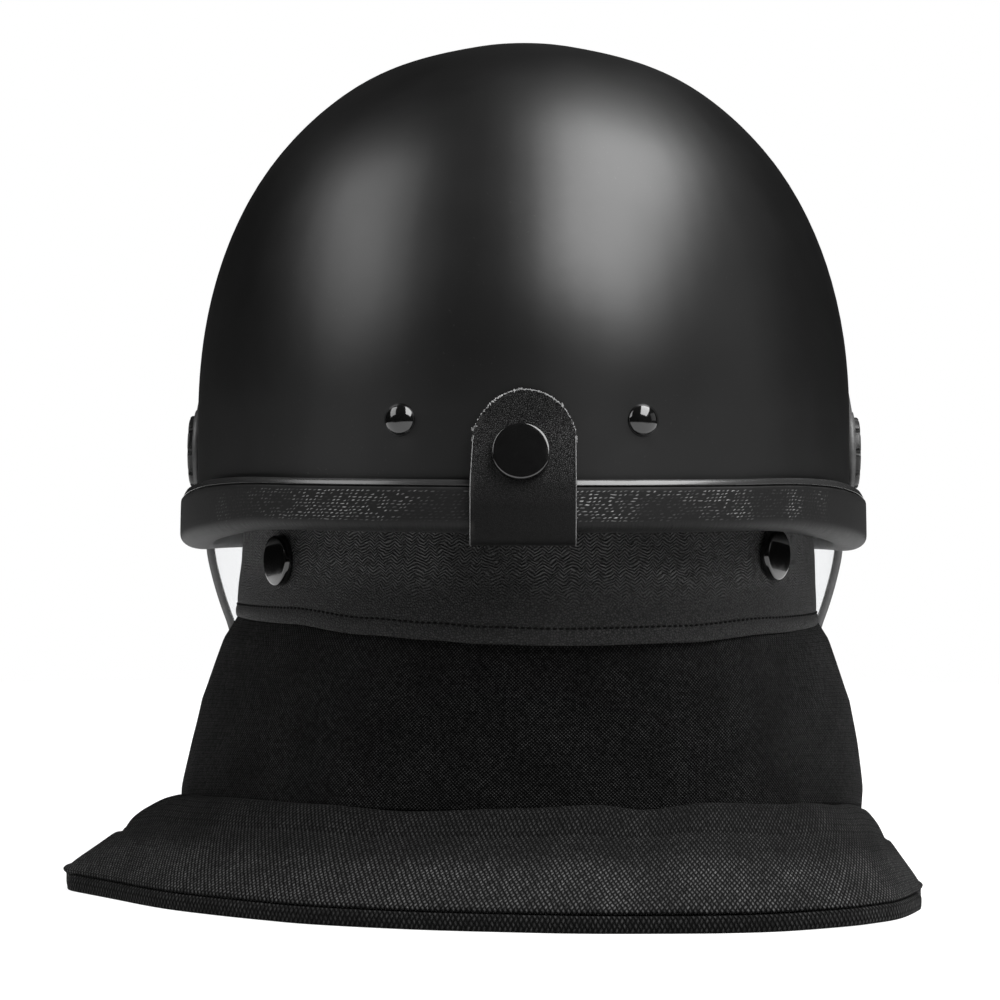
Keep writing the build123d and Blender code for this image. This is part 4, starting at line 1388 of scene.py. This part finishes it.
@dataclass
class Visor:
    """The clear visor, its seals and its pivots."""

    wardrobe: Wardrobe
    half_width: float = 0.124
    reach: float = 0.152
    power: float = 2.6
    wall: float = 0.003
    pivot: tuple[float, float] = (-0.028, 0.160)
    ear: float = 0.016
    top: float = 0.223
    lower_edge: tuple[tuple[float, float], ...] = ((-0.128, 0.0), (-0.097, 0.088), (-0.057, 0.121), (-0.044, 0.160))
    upper_edge: tuple[tuple[float, float], ...] = ((-0.028, 0.176), (-0.105, 0.223), (-0.150, 0.223))

    def build(self) -> None:
        """Makes the sheet and dresses what carries it."""
        self._sheet()
        dress(self.wardrobe.plain_rubber, "visor_seal", "brow_seal")
        dress(self.wardrobe.plastic, "left_knob", "right_knob", "pivot_bases", "pivot_washers", "pivot_backings")
        dress(self.wardrobe.steel, "pivot_screws", "pivot_nuts")

    def plan(self) -> Line:
        """The sheet's middle line from above, from the left ear round the front to the right one."""
        wide, deep = self.half_width + self.wall / 2, self.reach + self.wall / 2
        half = [Vector((wide, self.pivot[0] + self.ear))]
        for step in range(61):
            turn = math.pi / 2 * step / 60
            half.append(Vector((wide * math.cos(turn) ** (2 / self.power),
                                self.pivot[0] - deep * math.sin(turn) ** (2 / self.power))))
        return Line([*half, *(Vector((-point.x, point.y)) for point in reversed(half[:-1]))])

    def rear_edge(self, height: float) -> float:
        """How far back the sheet reaches at a height."""
        pivot, level = self.pivot
        lower = rounded_line(self.lower_edge, (0.030, 0.030), 8)
        upper = rounded_line(self.upper_edge, (0.030,), 8)
        edge = []
        for line in (lower, upper):
            for first, second in zip(line, line[1:]):
                if min(first.y, second.y) <= height <= max(first.y, second.y) and first.y != second.y:
                    share = (height - first.y) / (second.y - first.y)
                    edge.append(first.x + (second.x - first.x) * share)
        if abs(height - level) < self.ear:
            edge.append(pivot + math.sqrt(self.ear ** 2 - (height - level) ** 2))
        return max(edge) if edge else self.upper_edge[1][0] - 0.008

    def _sheet(self) -> None:
        """The curved clear sheet with its sawn edge."""
        plan = self.plan()
        half = [(point, mark) for point, mark in zip(plan.points, plan.marks) if mark <= plan.length / 2]

        def mark_at(reach: float) -> float:
            """The length along the plan at which the sheet starts."""
            for (first, start), (second, end) in zip(half, half[1:]):
                if second.y <= reach <= first.y:
                    return start + (end - start) * (first.y - reach) / max(first.y - second.y, 1e-9)
            return 0.0

        heights = sorted({0.0, self.top, *(self.top * step / 90 for step in range(91)),
                          *(self.pivot[1] + self.ear * math.sin(math.pi * step / 24 - math.pi / 2)
                            for step in range(25))})
        starts = [mark_at(self.rear_edge(min(height, self.top - 0.00001))) for height in heights]

        def place(across: float, along: float) -> Vector:
            index = round(along * (len(heights) - 1))
            start = starts[index] / plan.length
            spot = plan.at(start + (1 - 2 * start) * across)
            return Vector((spot.x, spot.y, heights[index]))

        mesh = mapped_grid(150, len(heights) - 1, place, (0.5, self.top))
        piece = piece_of(mesh, "visor_sheet", self.wardrobe.clear, self.wardrobe.sheet_edge)
        thicken(piece, self.wall, 1)
        settle(piece, Body.VISOR, "clear_sheet", "visor")


@dataclass
class Pad:
    """One comfort pad: a crowned cushion on the liner's inner face."""

    name: str
    node: str
    place: Callable[[float, float, float], Vector]
    half_across: float
    half_along: float
    middle: tuple[float, float]
    wall: float
    seams: int = 1
    cuts: int = 17
    least: float = 0.42
    dent: float = 0.34

    def build(self, finish: Material) -> None:
        """Makes the pad, sewn across at its seams."""
        mesh = bmesh.new()
        bmesh.ops.create_cube(mesh, size=2.0)
        bmesh.ops.subdivide_edges(mesh, edges=mesh.edges, cuts=self.cuts, use_grid_fill=True)
        for vert in mesh.verts:
            a, b, c = vert.co
            crown = math.sqrt(max((1 - a ** 4) * (1 - b ** 4), 0))
            belly = 0.03 * (1 - c * c)
            across = a * (1 - 0.10 * b * b) * (0.965 + belly)
            along = b * (1 - 0.10 * a * a) * (0.965 + belly)
            channel = sum(math.exp(-((a - (2 * (k + 1) / (self.seams + 1) - 1)) / 0.055) ** 2)
                          for k in range(self.seams))
            full = self.least + (1 - self.least) * crown - self.dent * channel
            depth = self.wall * (1 - c) / 2 * full
            vert.co = self.place(self.middle[0] + across * self.half_across,
                                 self.middle[1] + along * self.half_along, depth)
        piece = piece_of(mesh, self.name, finish)
        round_off(piece)
        settle(piece, Body.HELMET, "black_lining", self.node)


@dataclass
class Lining:
    """The foam liner and the comfort pads inside it."""

    egg: Egg
    wardrobe: Wardrobe
    face: float = -0.0224
    crown_radius: float = 0.054

    def build(self) -> None:
        """Makes every pad and dresses the liner."""
        dress(self.wardrobe.foam, "impact_liner")
        for pad in self.pads():
            pad.build(self.wardrobe.lining)

    def pads(self) -> list[Pad]:
        """The five pads with their places."""
        egg, face = self.egg, self.face
        spots = [
            Pad("crown_cushion", "crown_pad", lambda x, y, depth: egg.above(x, y, face - depth),
                self.crown_radius * 0.92, self.crown_radius * 0.92, (0, 0), 0.0095, 2),
            Pad("brow_cushion", "brow_pad", lambda x, z, depth: egg.behind(x, z, face - depth, -1),
                0.0655, 0.0143, (0, 0.2315), 0.0126, 3),
            Pad("nape_cushion", "nape_pad", lambda x, z, depth: egg.behind(x, z, face - depth, 1),
                0.0575, 0.0257, (0, 0.179), 0.0126, 2),
        ]
        for side, name in ((1, "left"), (-1, "right")):
            spots.append(Pad(f"{name}_ear_cushion", f"{name}_ear_pad",
                             lambda y, z, depth, side=side: egg.beside(y, z, face - depth, side),
                             0.0427, 0.0317, (-0.009, 0.182), 0.0126, 1))
        return spots


@dataclass
class ChinStrap:
    """The webbing, its buckle and slider, the chin cup and the hidden hangers."""

    egg: Egg
    wardrobe: Wardrobe
    reach: float = -0.028
    start: float = 0.1057
    anchor: float = 0.138
    knee: float = 0.1325
    floor: float = 0.066
    half_span: float = 0.068
    buckle_from: float = 0.012
    buckle_to: float = 0.051
    width: float = 0.020
    wall: float = 0.0016
    hanger_width: float = 0.0198
    hanger_wall: float = 0.0014
    hanger_bow: float = 0.0006

    def build(self) -> None:
        """Makes the webbing and dresses the hard pieces."""
        knee, corner = Vector((self.start, self.knee)), Vector((self.half_span, self.floor))
        run = (corner - knee).normalized()
        near, far = knee + run * self.buckle_from, knee + run * self.buckle_to
        short = rounded_line([(self.start, self.anchor), knee, near], (0.0098,))
        long = rounded_line([far, corner, (-corner.x, corner.y), (-knee.x, knee.y), (-knee.x, self.anchor)],
                            (0.032, 0.032, 0.0098))
        self._ribbon("strap_short_webbing", Line(short), "strap_short")
        self._ribbon("strap_long_webbing", Line(long), "strap_long")
        self._hangers()
        dress(self.wardrobe.plastic, "buckle_socket", "buckle_plug", "front_prong", "rear_prong", "strap_slider")
        dress(self.wardrobe.plain_rubber, "chin_cup")
        dress(self.wardrobe.steel, "anchor_plates")

    def _ribbon(self, name: str, line: Line, node: str) -> None:
        """A flat webbing ribbon along a line, across the helmet."""

        def place(across: float, along: float) -> Vector:
            spot = line.at(along)
            return Vector((spot.x, self.reach + (across - 0.5) * self.width, spot.y))

        mesh = mapped_grid(10, max(round(line.length / 0.002), 6), place, (self.width, line.length))
        piece = piece_of(mesh, name, self.wardrobe.webbing)
        thicken(piece, self.wall)
        bevelled(piece, 0.0005)
        settle(piece, Body.STRAP, "black_webbing", node)

    def _hangers(self) -> None:
        """Two webbing straps from the rear rivets down to the collar's back."""
        meshes = []
        line = Line(rounded_line([(0.008, -0.0048), (-0.008, -0.0048), (-0.027, -0.0232), (-0.0365, -0.0232)],
                                 (0.006, 0.006)))
        for side in Side:
            foot, out = self.egg.rivet_seat(side)
            along_rim = Vector((-out.y, out.x, 0))

            def place(across: float, along: float, foot=foot, out=out, along_rim=along_rim) -> Vector:
                up, depth = line.at(along)
                bow = (across - 0.5) ** 2 * 4 * self.hanger_bow
                return foot + out * (depth - bow) + Vector((0, 0, up)) \
                    + along_rim * (across - 0.5) * self.hanger_width

            meshes.append(mapped_grid(10, 30, place, (self.hanger_width, line.length)))
        piece = piece_of(joined(meshes), "rear_hanger_webbing", self.wardrobe.webbing)
        thicken(piece, self.hanger_wall)
        settle(piece, Body.HELMET, "black_webbing", "rear_hangers")


@dataclass
class Studio:
    """The camera, the soft lights, the pale floor and the dark room round them."""

    distance: float = 1.2
    aside: float = -0.007
    level: float = 0.1415
    lens: float = 114.05
    shift: float = -0.0236
    lean: float = 0.0025
    floor_radius: float = 1.3
    room_radius: float = 4.0

    def camera(self) -> None:
        """The camera of the photograph, level behind the helmet."""
        data = bpy.data.cameras.new("view_camera")
        data.sensor_width = 36.0
        data.lens = self.lens
        data.shift_x = self.shift
        data.clip_start = 0.01
        camera = bpy.data.objects.new("view_camera", data)
        camera.location = (self.aside, self.distance, self.level)
        aim = Matrix.Rotation(math.pi - self.aside / self.distance, 4, "Z") @ Matrix.Rotation(math.pi / 2, 4, "X")
        camera.rotation_euler = (aim @ Matrix.Rotation(self.lean, 4, "Z")).to_euler()
        bpy.context.scene.collection.objects.link(camera)
        bpy.context.scene.camera = camera

    def softbox(self, name: str, towards: tuple[float, float, float], distance: float, size: tuple[float, float],
                brightness: float, roll: float = 0.0, mirrored: bool = True) -> None:
        """A rectangular soft light.

        Args:
            name: The light's name.
            towards: Its direction from the helmet.
            distance: How far it stands off.
            size: Its width and height in metres.
            brightness: How bright its face is.
            roll: Its turn in its own plane, in degrees.
            mirrored: Whether glossy surfaces reflect it.
        """
        data = bpy.data.lights.new(name, "AREA")
        data.shape = "RECTANGLE"
        data.size, data.size_y = size
        data.energy = brightness * math.pi * size[0] * size[1]
        lamp = bpy.data.objects.new(name, data)
        direction = Vector(towards).normalized()
        lamp.location = direction * distance + Vector((0, 0, 0.17))
        turn = direction.to_track_quat("Z", "Y").to_matrix().to_4x4()
        lamp.rotation_euler = (turn @ Matrix.Rotation(math.radians(roll), 4, "Z")).to_euler()
        lamp.visible_camera = False
        lamp.visible_glossy = mirrored
        bpy.context.scene.collection.objects.link(lamp)

    def seen_share(self, board: NodeBoard) -> Socket:
        """One for rays that show the background, nought for the rest."""
        path = board.add("LightPath")
        rays = (path.outputs[f"Is {kind} Ray"] for kind in ("Camera", "Glossy", "Transmission"))
        return board.math("MINIMUM", board.plus(*rays), 1.0)

    def world(self) -> None:
        """A white background that lights the helmet only a little."""
        world = bpy.data.worlds.new("white_background")
        world.use_nodes = True
        board = NodeBoard(world.node_tree)
        seen = self.seen_share(board)
        back = world.node_tree.nodes["Background"]
        back.inputs["Color"].default_value = (1, 1, 1, 1)
        board.give(back.inputs["Strength"], board.remap(seen, 0.0, 1.0, 0.25, 1.0))
        bpy.context.scene.world = world

    def room(self) -> None:
        """A dark room round the set, so that black surfaces reflect dark, unseen by the camera."""
        mesh = bmesh.new()
        bmesh.ops.create_uvsphere(mesh, u_segments=48, v_segments=24, radius=self.room_radius)
        piece = piece_of(mesh, "dark_room", self._dull("room_black", 0.02))
        piece.visible_camera = False
        piece.visible_transmission = False

    def _dull(self, name: str, color: float) -> Material:
        """A dull paint for the room."""
        material = bpy.data.materials.new(name)
        material.use_nodes = True
        board = NodeBoard(material.node_tree)
        shader = material.node_tree.nodes["Principled BSDF"]
        shader.inputs["Roughness"].default_value = 1.0
        shader.inputs["Specular IOR Level"].default_value = 0.0
        where = board.add("TexCoord").outputs["Object"]
        tint = board.blend(board.noise(where, 2, 2), gray(color * 0.9), gray(color * 1.1))
        Finish.join(board, shader, tint)
        return material

    def floor(self) -> None:
        """The pale floor, which keeps the helmet's soft shadow."""
        mesh = bmesh.new()
        bmesh.ops.create_circle(mesh, cap_ends=True, radius=self.floor_radius, segments=96)
        material = self._dull("pale_floor", 0.35)
        board = NodeBoard(material.node_tree)
        shader = material.node_tree.nodes["Principled BSDF"]
        shader.inputs["Emission Strength"].default_value = 1.0
        glow = board.blend(self.seen_share(board), (0, 0, 0, 1), gray(0.86))
        board.give(shader.inputs["Emission Color"], glow)
        piece = piece_of(mesh, "pale_floor", material)

    def build(self) -> None:
        """Sets up the whole studio."""
        self.camera()
        self.world()
        self.room()
        self.floor()
        self.softbox("key_softbox", (-0.47, 0.37, 0.82), 1.5, (1.0, 1.95), 7.7, roll=-43.0)
        self.softbox("left_softbox", (0.776, 0.204, 0.615), 1.5, (0.72, 1.35), 3.4, roll=39.0)
        self.softbox("right_softbox", (-0.95, 0.1, 0.25), 1.6, (1.0, 0.8), 0.45)
        self.softbox("front_fill", (0.0, -1.0, 0.5), 1.8, (1.4, 1.0), 2.4, mirrored=False)
        bpy.context.scene.view_settings.view_transform = "Standard"


def main() -> None:
    """Builds the helmet and its studio in order."""
    logging.basicConfig(level=logging.INFO, format="%(message)s")
    wardrobe = Wardrobe.stitched()
    egg, rim = Egg(), Rim()
    Studio().build()
    ShellAssembly(egg, rim, wardrobe).build()
    Lining(egg, wardrobe).build()
    Visor(wardrobe).build()
    NeckGuard(wardrobe).build()
    RearTab(wardrobe).build()
    ChinStrap(egg, wardrobe).build()


if __name__ == "__main__":
    main()
